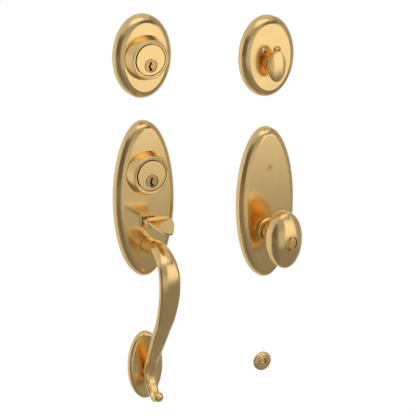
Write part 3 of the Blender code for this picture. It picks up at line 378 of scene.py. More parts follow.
def turned_solid(name, outline, steps=ROUND_STEPS):
    """A turned piece whose outline is closed on the axis, front and back."""
    return turned(name, [(0.0, outline[0][1]), *outline, (0.0, outline[-1][1])], steps, closed=False)


def block(name, low, high):
    """A box between two corners in face coordinates."""
    shape = bmesh.new()
    bmesh.ops.create_cube(shape, size=1.0)
    size = [top - bottom for bottom, top in zip(low, high)]
    middle = [(top + bottom) / 2 for bottom, top in zip(low, high)]
    bmesh.ops.scale(shape, verts=shape.verts, vec=size)
    bmesh.ops.translate(shape, verts=shape.verts, vec=middle)
    return object_from_bmesh(name, shape)


def prism(name, outline, front, back):
    """A flat outline of (x, y) points carried from one depth to another."""
    shape = bmesh.new()
    near = [shape.verts.new((x, y, front)) for x, y in outline]
    face = shape.faces.new(near)
    made = bmesh.ops.extrude_face_region(shape, geom=[face])
    moved = [item for item in made["geom"] if isinstance(item, bmesh.types.BMVert)]
    bmesh.ops.translate(shape, verts=moved, vec=(0.0, 0.0, back - front))
    return object_from_bmesh(name, shape)


def lofted(name, rings):
    """A solid through a list of rings of equal length, with flat caps on the first and the last."""
    shape = bmesh.new()
    loops = [[shape.verts.new(point) for point in ring] for ring in rings]
    count = len(loops[0])
    for near, far in zip(loops, loops[1:]):
        for index in range(count):
            after = (index + 1) % count
            shape.faces.new((near[index], near[after], far[after], far[index]))
    shape.faces.new(loops[0])
    shape.faces.new(loops[-1])
    return object_from_bmesh(name, shape)


def combine(target, tool, operation):
    """Cuts or joins the tool with the target, both in the same coordinates, and keeps the result."""
    modified(target, "BOOLEAN", operation=operation, object=tool, solver="EXACT")
    bpy.data.objects.remove(tool, do_unlink=True)
    return target


def cut(target, tool):
    return combine(target, tool, "DIFFERENCE")


def join(target, tool):
    return combine(target, tool, "UNION")


def drill(target, radius, front, back, x=0.0, y=0.0, steps=SMALL_STEPS):
    hole = turned_solid("hole", [(radius, front), (radius, back)], steps)
    hole.data.transform(shift(x, y))
    return cut(target, hole)


def shift(x, y):
    return Matrix.Translation((x, y, 0.0))


def oval_ring(half_width, half_height, inset, depth, steps=OVAL_STEPS):
    """An oval's outline moved inwards by the same inset all round."""
    ring = []
    for index in range(steps):
        turn = math.tau * index / steps
        across = math.cos(turn)
        up = math.sin(turn)
        normal = Vector((half_height * across, half_width * up)).normalized()
        ring.append((half_width * across - inset * normal.x, half_height * up - inset * normal.y, depth))
    return ring


def cove(start, end):
    """Points on a hollow quarter oval from start to end, both (inset, depth), without the start."""
    points = []
    for index in range(1, ARC_STEPS + 1):
        angle = math.pi / 2 * index / ARC_STEPS
        share_in, share_out = math.sin(angle), 1 - math.cos(angle)
        points.append((start[0] + (end[0] - start[0]) * share_in, start[1] + (end[1] - start[1]) * share_out))
    return points


def rim_outline(section, face_out, inset):
    """The rim's outline from the door to the face. The section gives shares of the inset and of the depth."""
    path = smooth_path(section, RIM_STEPS)
    return [(0.0, 0.0)] + [(across * inset, out * face_out) for across, out in path]


def oval_shell(name, half_width, half_height):
    """A forged oval rose, open at the back."""
    outside = rim_outline(RIM_SECTION, FACE_OUT, FACE_INSET)
    roof = FACE_OUT - ROOF_WALL
    bend = RIM_WALL - SHELL_WALL / 2
    inside = [(FACE_INSET + SHELL_WALL / 2, roof), (SHELL_WALL, bend), (SHELL_WALL, 0.0)]
    rings = [oval_ring(half_width, half_height, inset, depth) for inset, depth in inside + outside]
    return lofted(name, rings)


def keyway_outline():
    """The zigzag section that a key slides into, from top to bottom and back, with a wider foot."""
    half = KEYWAY_WIDTH / 2
    foot = KEYWAY_FOOT_WIDTH / 2
    top = KEYWAY_HEIGHT * KEYWAY_TOP
    bottom = top - KEYWAY_HEIGHT
    centre = [(0.0, top, half), (0.0, top * 0.35, half), (-KEYWAY_STEP, top * 0.05, half),
              (-KEYWAY_STEP, bottom * 0.35, half), (0.0, bottom * 0.62, half),
              (0.0, bottom * 0.7, foot), (0.0, bottom, foot)]
    right = [(x + wide, y) for x, y, wide in centre]
    left = [(x - wide, y) for x, y, wide in reversed(centre)]
    return right + left


def plug_back():
    """How far back the plug reaches: past the housing by most of its cap's length."""
    return CYLINDER_BACK - (CAP_LENGTH - CAP_LIP - TAIL_DISC_THICKNESS - 2 * SEAT_GAP)


def cross_recess(radius, front):
    """The cross that a screwdriver turns."""
    half = radius * CROSS_HALF
    reach = radius * CROSS_REACH
    tool = block("cross", (-half, -reach, front - radius * CROSS_DEPTH), (half, reach, front + radius))
    join(tool, block("cross_bar", (-reach, -half, front - radius * CROSS_BAR_DEPTH),
                     (reach, half, front + radius * CROSS_BAR_TOP)))
    return tool


def countersink(target, x, y, front, head):
    """The hole and seat for a flush screw of the same head."""
    wide = head + FINE_GAP
    narrow = SCREW_BORE
    seat = front - head * FLUSH_HEAD - SCREW_GAP
    outline = [(wide, 2 * front), (wide, seat), (narrow, seat - head * SEAT_CONE), (narrow, -front)]
    tool = turned_solid("countersink", outline, SMALL_STEPS)
    tool.data.transform(shift(x, y))
    return cut(target, tool)


def smooth_path(stations, steps):
    """Points on a smooth curve through the stations, each a tuple of numbers."""
    points = []
    last = len(stations) - 1
    for index in range(last):
        before = stations[max(index - 1, 0)]
        start = stations[index]
        end = stations[index + 1]
        after = stations[min(index + 2, last)]
        for step in range(steps):
            t = step / steps
            points.append(tuple(
                0.5 * (2 * b + (c - a) * t + (2 * a - 5 * b + 4 * c - d) * t * t
                       + (3 * b - a - 3 * c + d) * t ** 3)
                for a, b, c, d in zip(before, start, end, after)))
    points.append(stations[-1])
    return points


def section_ring(centre, across, outwards, half_width, half_depth, power, steps):
    """A rounded section, from round at a power of 2 to nearly square at higher powers."""
    ring = []
    for index in range(steps):
        turn = math.tau * index / steps
        c, s = math.cos(turn), math.sin(turn)
        x = half_width * math.copysign(abs(c) ** (2 / power), c)
        z = half_depth * math.copysign(abs(s) ** (2 / power), s)
        ring.append(tuple(centre + across * x + outwards * z))
    return ring


def grip_stations():
    """The pull's path and sections from its seat on the plate to the ball: y, out, half sizes, power.

    The path is in shares of the drop from the neck to the ball and of the reach out from the door.
    The body share is 0 at the round neck, 1 where the pull is broadest and 2 at its narrow foot.
    Past 2 the foot thins into the hook that holds the ball.
    """
    path = [
        (-0.007, 0.380, 0.00), (-0.018, 0.554, 0.10), (-0.004, 0.736, 0.35), (0.041, 0.889, 0.68),
        (0.100, 0.975, 0.92), (0.166, 1.000, 1.00), (0.270, 0.968, 1.06), (0.410, 0.847, 1.24),
        (0.520, 0.687, 1.39), (0.619, 0.544, 1.54), (0.729, 0.376, 1.71), (0.804, 0.260, 1.88),
        (0.870, 0.212, 2.00), (0.929, 0.240, 2.00), (0.966, 0.302, 2.05), (1.002, 0.375, 2.25),
        (1.020, 0.437, 2.50), (1.027, 0.503, 2.80),
    ]
    drop = GRIP_NECK_Y - BALL_Y
    stations = [(GRIP_NECK_Y, FACE_SEAT, NECK_RADIUS, NECK_RADIUS, 2.0)]
    for down, out, body in path:
        if body < 1:
            wide = NECK_RADIUS + (GRIP_BROAD_HALF_WIDTH - NECK_RADIUS) * body
            deep = NECK_RADIUS + (GRIP_BROAD_HALF_DEPTH - NECK_RADIUS) * body
            power = 2 + body
        else:
            along = min(body, 2) - 1
            thin = max(body, 2) - 2
            wide = GRIP_BROAD_HALF_WIDTH + (GRIP_FOOT_HALF_WIDTH - GRIP_BROAD_HALF_WIDTH) * along
            deep = GRIP_BROAD_HALF_DEPTH + (GRIP_FOOT_HALF_DEPTH - GRIP_BROAD_HALF_DEPTH) * along
            wide -= (GRIP_FOOT_HALF_WIDTH - HOOK_HALF_WIDTH) * thin
            deep -= (GRIP_FOOT_HALF_DEPTH - HOOK_HALF_DEPTH) * thin
            power = 3.0
        stations.append((GRIP_NECK_Y - drop * down, GRIP_REACH * out, wide, deep, power))
    return stations


def latch_opening():
    """Half the width and half the height of the hole that the thumb lever comes through."""
    return BEZEL_HALF_WIDTH - BEZEL_SIDE_BORDER, BEZEL_HALF_HEIGHT - BEZEL_TOP_BORDER


def lever_stations():
    """The lever's path from its tail inside the door to its tip: out, rise and half width.

    Beyond the root, out is in shares of the way from root to tip, rise and width in shares of the most.
    """
    tail = LEVER_TAIL_HALF_WIDTH
    rise = LEVER_TAIL_RISE
    stations = [(-LEVER_TAIL_REACH, rise, tail), (-LEVER_TAIL_REACH / 2, rise, tail), (0.0, rise, tail),
                (PIN_OUT + LEVER_EYE_RADIUS, rise, tail),
                (FACE_OUT, LEVER_ROOT_RISE / 2, LEVER_ROOT_HALF_WIDTH * 0.9),
                (LEVER_ROOT_OUT, LEVER_ROOT_RISE, LEVER_ROOT_HALF_WIDTH)]
    paddle = [
        (0.113, 0.53, 0.48), (0.226, 0.74, 0.65), (0.36, 0.95, 0.86), (0.49, 1.0, 1.0), (0.60, 0.85, 0.98),
        (0.71, 0.60, 0.87), (0.81, 0.35, 0.70), (0.905, 0.14, 0.49), (0.97, 0.01, 0.27), (1.0, -0.04, 0.08),
    ]
    length = LEVER_REACH - LEVER_ROOT_OUT
    for along, high, wide in paddle:
        stations.append((LEVER_ROOT_OUT + length * along, LEVER_RISE * high, LEVER_BROAD_HALF_WIDTH * wide))
    return stations


def sideways(out):
    """Turns a piece drawn along z so that it lies along x, at a depth out from the door."""
    return Matrix.Translation((0.0, 0.0, out)) @ Matrix.Rotation(math.pi / 2, 4, "Y")


def cross_rib():
    """The cast rib across the hollow of the long plate. Its back is flat and meets the door."""
    low = PLATE_HALF_WIDTH - SHELL_WALL / 2
    high = PLATE_HALF_WIDTH - FACE_INSET - SHELL_WALL / 2
    half = [(low, 0.0), (low, RIM_WALL / 2), (high, FACE_OUT - ROOF_WALL / 2)]
    outline = half + [(-across, out) for across, out in reversed(half)]
    made = prism("rib", outline, RIB_HALF_WIDTH, -RIB_HALF_WIDTH)
    made.data.transform(Matrix.Rotation(math.pi / 2, 4, "X"))
    return made


def set_screw_shape(name, radius, far, near):
    """A round bar from the knob's axis downwards, at the depth of the set screw."""
    made = turned_solid(name, [(radius, far), (radius, near)], 10)
    made.data.transform(Matrix.Translation((0.0, 0.0, SET_SCREW_OUT)) @ Matrix.Rotation(math.pi / 2, 4, "X"))
    return made


def stand(made, node, group, x=0.0, y=0.0, sharp=SHARP, flat=True):
    """Turns a piece from face coordinates onto its place, in the CAD node's stead."""
    made.name = node + "_finished"
    made.data.name = made.name
    across, up = group[0] + x, group[1] + y
    made.data.transform(Matrix(((1, 0, 0, across), (0, 0, -1, 0), (0, 1, 0, up), (0, 0, 0, 1))))
    made.data.materials.clear()
    made.data.materials.append(finishes[slot_of_node[node]])
    for polygon in made.data.polygons:
        polygon.use_smooth = True
    made.data.set_sharp_from_angle(angle=math.radians(sharp))
    if flat:
        even = made.modifiers.new("Even faces", "WEIGHTED_NORMAL")
        even.keep_sharp = True
    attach(made, body_of_node[node])
    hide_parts(node)
    return made


def collar(node, group, y):
    lip_inside = COLLAR_FRONT_RADIUS - COLLAR_LIP_WIDTH
    ring_inside = DISC_EDGE + GROOVE_WIDTH
    base = FACE_SEAT
    ring_front = CYLINDER_FRONT - COLLAR_BEVEL_DROP
    profile = [
        (ring_inside, ring_front),
        (lip_inside - COLLAR_BEVEL_WIDTH, ring_front),
        (lip_inside, CYLINDER_FRONT),
        (COLLAR_FRONT_RADIUS - COLLAR_BEVEL_DROP, CYLINDER_FRONT),
        (COLLAR_FRONT_RADIUS, CYLINDER_FRONT - COLLAR_BEVEL_DROP),
        (COLLAR_BASE_RADIUS, base),
        (ring_inside, base),
    ]
    stand(turned(node, softened(profile), ROUND_STEPS), node, group, y=y)


def cylinder_housing(node, group, y):
    head_back = FACE_SEAT
    outline = [
        (0.0, CYLINDER_FRONT),
        (DISC_EDGE, CYLINDER_FRONT),
        (DISC_EDGE, head_back),
        (CYLINDER_NECK_RADIUS, head_back),
        (CYLINDER_NECK_RADIUS, CYLINDER_BACK),
    ]
    made = turned_solid(node, softened(outline, closed=False)[1:])
    for side in (-1, 1):
        ends = [(POST_RADIUS, 0.0), (POST_RADIUS, CYLINDER_BACK - POST_REACH)]
        post = turned_solid("post", ends, SCREW_STEPS)
        post.data.transform(shift(side * POST_SPREAD, 0.0))
        join(made, post)
        drill(made, SCREW_SHANK_RADIUS, CYLINDER_BACK - POST_REACH / 3, CYLINDER_BACK - 2 * POST_REACH,
              x=side * POST_SPREAD, steps=SCREW_STEPS)
    shoulder = CYLINDER_FRONT - PLUG_HEAD_LENGTH - PLUG_RECESS - RUN_GAP
    head, body = PLUG_HEAD_RADIUS + PLUG_RING, PLUG_BODY_RADIUS + RUN_GAP
    steps = [(head, 2 * CYLINDER_FRONT), (head, shoulder), (body, shoulder), (body, 2 * CYLINDER_BACK)]
    bore = turned_solid("plug_bore", steps, SMALL_STEPS)
    bore.data.transform(shift(0.0, -PLUG_DROP))
    cut(made, bore)
    stand(made, node, group, y=y)


def key_plug(node, group, y):
    head_front = CYLINDER_FRONT - PLUG_RECESS
    head_back = head_front - PLUG_HEAD_LENGTH
    outline = [
        (PLUG_HEAD_RADIUS, head_front),
        (PLUG_HEAD_RADIUS, head_back),
        (PLUG_BODY_RADIUS, head_back),
        (PLUG_BODY_RADIUS, plug_back()),
    ]
    made = turned_solid(node, softened([(0.0, head_front), *outline], closed=False)[1:], SMALL_STEPS)
    cut(made, prism("keyway", keyway_outline(), CYLINDER_FRONT * 2, head_front - KEYWAY_DEPTH))
    stand(made, node, group, y=y - PLUG_DROP)


def cylinder_set(prefix, group, y, collar_node, housing_node):
    collar(collar_node, group, y)
    cylinder_housing(housing_node, group, y)
    key_plug(prefix + "_key_plug", group, y)


def domed_screw(node, group, x, y, seat, head, dome, reach, dimpled=False):
    outline = []
    for degrees in DOME_DEGREES:
        angle = math.radians(degrees)
        rise = DOME_FOOT + (1 - DOME_FOOT) * math.sin(angle)
        outline.append((head * math.cos(angle) ** DOME_POWER, seat + dome * rise))
    outline += [(head, seat), (SCREW_SHANK_RADIUS, seat), (SCREW_SHANK_RADIUS, -reach)]
    made = turned_solid(node, outline, SCREW_STEPS)
    front = seat + dome
    if dimpled:
        dimple = [(head, front + head * DIMPLE_TOP), (head * DIMPLE_POINT, front - head * DIMPLE_DEPTH)]
        cut(made, turned_solid("dimple", dimple, SCREW_STEPS))
    else:
        cut(made, cross_recess(head, front))
    stand(made, node, group, x=x, y=y, sharp=SHARP_SCREW)


def flush_screw(node, group, x, y, front, head, reach):
    outline = [(head, front), (head, front - head * FLUSH_HEAD),
               (SCREW_SHANK_RADIUS, front - head * FLUSH_CONE), (SCREW_SHANK_RADIUS, -reach)]
    made = turned_solid(node, softened([(0.0, front), *outline], closed=False)[1:], SCREW_STEPS)
    cut(made, cross_recess(head, front))
    stand(made, node, group, x=x, y=y)


def turn_knob(group):
    """The oval turn: a shallow side, a small step and a domed front, on a slotted stem."""
    wide, tall = TURN_HALF_WIDTH, TURN_HALF_HEIGHT
    back = (TURN_BACK_INSET, TURN_BACK)
    rings = [back, *cove(back, (0.0, TURN_BACK + TURN_BACK_ROUND)), (0.0, TURN_SIDE)]
    sections = [oval_ring(wide, tall, inset, depth, TURN_STEPS) for inset, depth in rings]
    soft = EDGE_SOFT / 2
    sections.append(oval_ring(wide, tall, soft, TURN_SIDE + TURN_RIM_STEP - soft, TURN_STEPS))
    sections.append(oval_ring(wide, tall, TURN_RIM_STEP, TURN_SIDE + TURN_RIM_STEP, TURN_STEPS))
    groove = TURN_SIDE + TURN_RIM_STEP - JOINT_WIDTH
    sections.append(oval_ring(wide, tall, TURN_GROOVE_INSET, groove, TURN_STEPS))
    rise = (TURN_FRONT - TURN_SIDE - TURN_RIM_STEP) * TURN_DOME_SHARE
    dome_wide = wide - TURN_DOME_INSET
    dome_tall = tall - TURN_DOME_INSET
    for index in range(DOME_RINGS):
        share = 1 - index / DOME_RINGS
        depth = TURN_FRONT - rise * share ** 2
        sections.append(oval_ring(dome_wide * share, dome_tall * share, 0.0, depth, TURN_STEPS))
    made = lofted("turn", sections)
    stem_top = TURN_BACK + TURN_BACK_ROUND
    join(made, turned_solid("stem", [(TURN_STEM_RADIUS, stem_top), (TURN_STEM_RADIUS, -TURN_STEM_REACH)]))
    half = TURN_SLOT_WIDTH / 2
    wide_cut = TURN_STEM_RADIUS * 2
    slot_front = -TURN_STEM_REACH + TURN_SLOT_DEPTH
    cut(made, block("slot", (-wide_cut, -half, -TURN_STEM_REACH * 2), (wide_cut, half, slot_front)))
    stand(made, "deadbolt_turn_knob", group, y=-TURN_DROP)


def deadbolt_inner(group):
    rose = oval_shell("rose", ROSE_HALF_WIDTH, ROSE_HALF_HEIGHT)
    bushing_bore = BUSHING_RADIUS - CLIP_WALL
    drill(rose, bushing_bore + SEAT_GAP, 2 * FACE_OUT, -FACE_OUT, y=-TURN_DROP)
    for side, word in ((-1, "left"), (1, "right")):
        spread = side * ROSE_SCREW_SPREAD
        drill(rose, SCREW_BORE, 2 * FACE_OUT, -FACE_OUT, x=spread, y=ROSE_SCREW_RISE,
              steps=SCREW_STEPS)
        domed_screw("deadbolt_screw_" + word, group, spread, ROSE_SCREW_RISE, FACE_SEAT,
                    ROSE_SCREW_HEAD, ROSE_SCREW_DOME, ROSE_SCREW_REACH)
    stand(rose, "deadbolt_inner_rose", group, sharp=CRISP)
    stem_bore = TURN_STEM_RADIUS + RUN_GAP
    bushing = [
        (stem_bore, FACE_OUT + BUSHING_OUT),
        (BUSHING_RADIUS - BUSHING_CHAMFER, FACE_OUT + BUSHING_OUT),
        (BUSHING_RADIUS, FACE_OUT + BUSHING_OUT - BUSHING_CHAMFER),
        (BUSHING_RADIUS, FACE_SEAT),
        (bushing_bore, FACE_SEAT),
        (bushing_bore, FACE_OUT - ROOF_WALL),
        (stem_bore, FACE_OUT - ROOF_WALL),
    ]
    made = turned("bushing", softened(bushing), SMALL_STEPS)
    stand(made, "deadbolt_turn_bushing", group, y=-TURN_DROP)
    turn_knob(group)


def grip_ball():
    """The ball that sits in the hook at the foot of the pull."""
    profile = []
    for index in range(BALL_ROWS + 1):
        angle = math.radians(BALL_POLE + (180 - 2 * BALL_POLE) * index / BALL_ROWS)
        profile.append((BALL_RADIUS * math.sin(angle), BALL_RADIUS * math.cos(angle)))
    made = turned_solid("ball", profile, SMALL_STEPS)
    made.data.transform(Matrix.Translation((0.0, BALL_Y, BALL_OUT)) @ Matrix.Rotation(math.pi / 2, 4, "Y"))
    return made


def grip(group):
    """The pull: a round neck that turns down into a broad, flat-sided middle, then a hook with a ball."""
    points = smooth_path(grip_stations(), GRIP_PATH_STEPS)
    rings = []
    for index, (y, out, half_width, half_depth, power) in enumerate(points):
        ahead = points[min(index + 1, len(points) - 1)]
        behind = points[max(index - 1, 0)]
        run = Vector((0.0, ahead[0] - behind[0], ahead[1] - behind[1])).normalized()
        lean = min(index / GRIP_PATH_STEPS, 1.0)
        run = (run * lean + Vector((0.0, 0.0, 1.0)) * (1 - lean)).normalized()
        outwards = Vector((0.0, run.z, -run.y))
        rings.append(section_ring(Vector((0.0, y, out)), Vector((1.0, 0.0, 0.0)), outwards,
                                  half_width, half_depth, 2 + max(power - 2, 0.0) * GRIP_CROWN, GRIP_STEPS))
    centre = Vector((0.0, GRIP_NECK_Y, 0.0))
    low = [(Vector(corner) - centre) * JOINT_SHARE + centre for corner in rings[0]]
    seat = FACE_SEAT
    rings = [[Vector((x, y, seat)) for x, y, _ in low],
             [Vector((x, y, seat + JOINT_WIDTH)) for x, y, _ in low],
             [Vector(corner) + Vector((0.0, 0.0, JOINT_WIDTH)) for corner in rings[0]], *rings[1:]]
    made = lofted("grip", rings)
    join(made, grip_ball())
    foot_seat = FOOT_FACE_OUT + SEAT_GAP
    ends = [(GRIP_POST_RADIUS, GRIP_FOOT_DEPTH), (GRIP_POST_RADIUS, foot_seat)]
    post = turned_solid("post", ends, SMALL_STEPS)
    post.data.transform(shift(0.0, GRIP_POST_Y))
    join(made, post)
    bore = SCREW_BORE
    drill(made, bore, GRIP_FOOT_DEPTH - SEAT_GAP, 0.0, y=GRIP_POST_Y, steps=SCREW_STEPS)
    drill(made, bore, FACE_OUT + GRIP_SCREW_DEPTH, 0.0, y=GRIP_NECK_Y, steps=SCREW_STEPS)
    stand(made, "grip", group, sharp=SHARP_FREE, flat=False)


def foot_rose(group):
    """The thin oval rose that the grip's lower post stands on."""
    outline = rim_outline(FOOT_SECTION, FOOT_FACE_OUT, FOOT_INSET)
    inside = [(FOOT_INSET + FOOT_WALL / 2, FOOT_FACE_OUT - FOOT_WALL), (FOOT_WALL, 0.0)]
    rings = [oval_ring(FOOT_HALF_WIDTH, FOOT_HALF_HEIGHT, inset, depth)
             for inset, depth in inside + outline]
    made = lofted("foot_rose", rings)
    drill(made, SCREW_BORE, 2 * FOOT_FACE_OUT, -FOOT_FACE_OUT, y=GRIP_POST_Y - FOOT_ROSE_Y,
          steps=SCREW_STEPS)
    stand(made, "grip_foot_rose", group, y=FOOT_ROSE_Y, sharp=CRISP)


def bezel(group):
    """The rectangular frame that lines the thumb lever's opening."""
    wide, tall = BEZEL_HALF_WIDTH, BEZEL_HALF_HEIGHT
    inner_wide, inner_tall = latch_opening()
    front = FACE_OUT + BEZEL_OUT
    made = block("bezel", (-wide, -tall, FACE_SEAT), (wide, tall, front))
    lined_wide = inner_wide + BEZEL_LINING
    lined_tall = inner_tall + BEZEL_LINING
    middle = front - BEZEL_OUT / 2
    low = middle - BEZEL_DEPTH
    join(made, block("lining", (-lined_wide, -lined_tall, low), (lined_wide, lined_tall, middle)))
    cut(made, block("opening", (-inner_wide, -inner_tall, -FACE_OUT), (inner_wide, inner_tall, 2 * FACE_OUT)))
    bevelled(made, BEZEL_EDGE / 2)
    stand(made, "latch_bezel", group, y=LATCH_Y)


def thumb_lever(group):
    """The arched thumb piece, one casting with its flange and the tail that lifts the latch."""
    shape = bmesh.new()
    rows = []
    for out, rise, half_width in smooth_path(lever_stations(), LEVER_PATH_STEPS):
        row = []
        for column in range(LEVER_COLUMNS):
            share = 2 * column / (LEVER_COLUMNS - 1) - 1
            row.append(shape.verts.new((half_width * share, rise, out)))
        rows.append(row)
    for near, far in zip(rows, rows[1:]):
        for column in range(LEVER_COLUMNS - 1):
            shape.faces.new((near[column], near[column + 1], far[column + 1], far[column]))
    made = object_from_bmesh("lever", shape)
    bevelled(modified(made, "SOLIDIFY", thickness=LEVER_THICKNESS, offset=0.0), EDGE_SOFT)
    flange_half = FLANGE_HALF_WIDTH
    flange = block("flange", (-flange_half, -FLANGE_DROP, FLANGE_OUT),
                   (flange_half, LEVER_ROOT_RISE, FLANGE_OUT + FLANGE_THICKNESS))
    join(made, bevelled(flange, EDGE_SOFT))
    eye_half = LEVER_TAIL_HALF_WIDTH - SEAT_GAP
    eye = turned_solid("eye", [(LEVER_EYE_RADIUS, eye_half), (LEVER_EYE_RADIUS, -eye_half)], SMALL_STEPS)
    eye.data.transform(sideways(PIN_OUT))
    join(made, eye)
    bore = PIN_RADIUS + RUN_GAP
    hole_half = 2 * LEVER_TAIL_HALF_WIDTH
    pin_hole = turned_solid("pin_hole", [(bore, hole_half), (bore, -hole_half)], SMALL_STEPS)
    pin_hole.data.transform(sideways(PIN_OUT))
    cut(made, pin_hole)
    stand(made, "thumb_lever", group, y=LATCH_Y, sharp=SHARP_FREE, flat=False)


def deadbolt_outer(group):
    rose = oval_shell("rose", ROSE_HALF_WIDTH, ROSE_HALF_HEIGHT)
    drill(rose, CYLINDER_NECK_RADIUS + SEAT_GAP, 2 * FACE_OUT, -FACE_OUT, steps=ROUND_STEPS)
    stand(rose, "deadbolt_outer_rose", group, sharp=CRISP)
    cylinder_set("deadbolt", group, 0.0, "deadbolt_outer_collar", "deadbolt_cylinder_housing")


def handle_outer(group):
    plate = oval_shell("plate", PLATE_HALF_WIDTH, PLATE_HALF_HEIGHT)
    join(plate, cross_rib())
    drill(plate, CYLINDER_NECK_RADIUS + SEAT_GAP, 2 * FACE_OUT, -FACE_OUT, y=HANDLE_CYLINDER_Y,
          steps=ROUND_STEPS)
    inner_wide, inner_tall = latch_opening()
    wide = inner_wide + BEZEL_LINING + SEAT_GAP
    tall = inner_tall + BEZEL_LINING + SEAT_GAP
    cut(plate, block("slot", (-wide, LATCH_Y - tall, -FACE_OUT), (wide, LATCH_Y + tall, 2 * FACE_OUT)))
    drill(plate, SCREW_BORE, 2 * FACE_OUT, -FACE_OUT, y=GRIP_NECK_Y, steps=SCREW_STEPS)
    stand(plate, "handle_outer_plate", group, sharp=CRISP)
    cylinder_set("handle", group, HANDLE_CYLINDER_Y, "handle_outer_collar", "handle_cylinder_housing")
    bezel(group)
    thumb_lever(group)
    grip(group)
    foot_rose(group)


def egg_knob(group):
    """The oval knob: a short flared back, a rim and a long domed front, bored for the turn button."""
    wide, tall = KNOB_HALF_WIDTH, KNOB_HALF_HEIGHT
    depth = KNOB_FRONT - KNOB_BACK
    rings = [oval_ring(wide * x, tall * y, 0.0, KNOB_BACK + depth * out, KNOB_STEPS)
             for x, y, out in smooth_path(KNOB_BACK_SECTION, KNOB_PATH_STEPS)]
    rim = KNOB_BACK + depth * KNOB_BACK_SECTION[-1][2]
    side = rim + (KNOB_FRONT - rim) * KNOB_SIDE_SHARE
    low = side + KNOB_EDGE
    sides = [(1.0, rim), (KNOB_MIDDLE_WIDTH, (rim + side) / 2), (KNOB_SIDE_WIDTH, side),
             (KNOB_DOME_WIDTH, low)]
    for share, out in smooth_path(sides, KNOB_PATH_STEPS)[1:-1]:
        rings.append(oval_ring(wide * share, tall * share, 0.0, out, KNOB_STEPS))
    for index in range(DOME_RINGS):
        share = KNOB_DOME_WIDTH * (1 - index / DOME_RINGS)
        out = low + (KNOB_FRONT - low) * (1 - (share / KNOB_DOME_WIDTH) ** KNOB_DOME_POWER)
        rings.append(oval_ring(wide * share, tall * share, 0.0, out, KNOB_STEPS))
    made = lofted("knob", rings)
    button_bore, rod_bore = BUTTON_RADIUS + RUN_GAP, BUTTON_ROD_RADIUS + RUN_GAP
    end = BUTTON_FACE - BUTTON_THICKNESS - RUN_GAP
    bore = [(button_bore, 2 * KNOB_FRONT), (button_bore, end), (rod_bore, end), (rod_bore, 0.0)]
    cut(made, turned_solid("bore", bore, SMALL_STEPS))
    hole = set_screw_shape("set_screw_hole", SET_SCREW_RADIUS + RUN_GAP, 2 * tall, SET_SCREW_TIP - RUN_GAP)
    cut(made, hole)
    stand(made, "egg_knob", group, y=-KNOB_DROP, flat=False)


def button(group):
    """The turn button in the knob's nose, with its raised bar."""
    back = BUTTON_FACE - BUTTON_THICKNESS
    outline = [(0.0, BUTTON_FACE), (BUTTON_RADIUS - BUTTON_EDGE, BUTTON_FACE),
               (BUTTON_RADIUS, BUTTON_FACE - BUTTON_EDGE), (BUTTON_RADIUS, back)]
    made = turned_solid("button", softened(outline, closed=False)[1:], SMALL_STEPS)
    top = BUTTON_FACE + BUTTON_BAR_RISE
    sections = [(0.0, BUTTON_FACE - BUTTON_EDGE)]
    sections += [(BUTTON_BAR_ROUND * (1 - math.cos(angle)), top - BUTTON_BAR_ROUND * (1 - math.sin(angle)))
                 for angle in (math.pi / 2 * step / ARC_STEPS for step in range(ARC_STEPS + 1))]
    across, upwards = Vector((1.0, 0.0, 0.0)), Vector((0.0, 1.0, 0.0))
    rings = [section_ring(Vector((0.0, 0.0, out)), across, upwards, BUTTON_BAR_HALF_WIDTH - inset,
                          BUTTON_BAR_HALF_LENGTH - inset, BAR_POWER, GRIP_STEPS) for inset, out in sections]
    join(made, lofted("bar", rings))
    stand(made, "turn_button", group, y=-KNOB_DROP)


def handle_inner(group):
    plate = oval_shell("plate", PLATE_HALF_WIDTH, PLATE_HALF_HEIGHT)
    drill(plate, SHANK_RADIUS + RUN_GAP, 2 * FACE_OUT, -FACE_OUT, y=-KNOB_DROP)
    for node, y in (("plate_screw_upper", PLATE_SCREW_RISE), ("plate_screw_lower", -PLATE_SCREW_DROP)):
        countersink(plate, 0.0, y, FACE_OUT, PLATE_SCREW_HEAD)
        flush_screw(node, group, 0.0, y, FACE_OUT, PLATE_SCREW_HEAD, PLATE_SCREW_REACH)
    stand(plate, "handle_inner_plate", group, sharp=CRISP)
    shank_bore = SHANK_RADIUS + RUN_GAP
    front = FACE_OUT + KNOB_COLLAR_OUT
    ring = [
        (shank_bore, front),
        (KNOB_COLLAR_RADIUS - KNOB_COLLAR_CHAMFER, front),
        (KNOB_COLLAR_RADIUS, front - KNOB_COLLAR_CHAMFER),
        (KNOB_COLLAR_RADIUS, FACE_SEAT),
        (shank_bore, FACE_SEAT),
    ]
    made = turned("collar", softened(ring, 2 * EDGE_SOFT, steps=5), ROUND_STEPS)
    stand(made, "knob_collar", group, y=-KNOB_DROP)
    knob_seat = KNOB_BACK - SEAT_GAP
    rod_bore = BUTTON_ROD_RADIUS + RUN_GAP
    shank = [
        (rod_bore, knob_seat),
        (SHANK_END_RADIUS, knob_seat),
        (SHANK_WAIST_RADIUS, SHANK_WAIST_OUT),
        (SHANK_END_RADIUS, SHANK_RING_OUT + SHANK_RING_ROOT),
        (SHANK_RING_RADIUS, SHANK_RING_OUT + SHANK_RING_HALF),
        (SHANK_RING_RADIUS, SHANK_RING_OUT - SHANK_RING_HALF),
        (SHANK_RADIUS, SHANK_RING_OUT - SHANK_RING_ROOT),
        (SHANK_RADIUS, SHANK_BACK),
        (rod_bore, SHANK_BACK),
    ]
    made = turned("shank", softened(shank, 2 * EDGE_SOFT, steps=5), ROUND_STEPS)
    stand(made, "knob_shank", group, y=-KNOB_DROP)
    egg_knob(group)
    button(group)


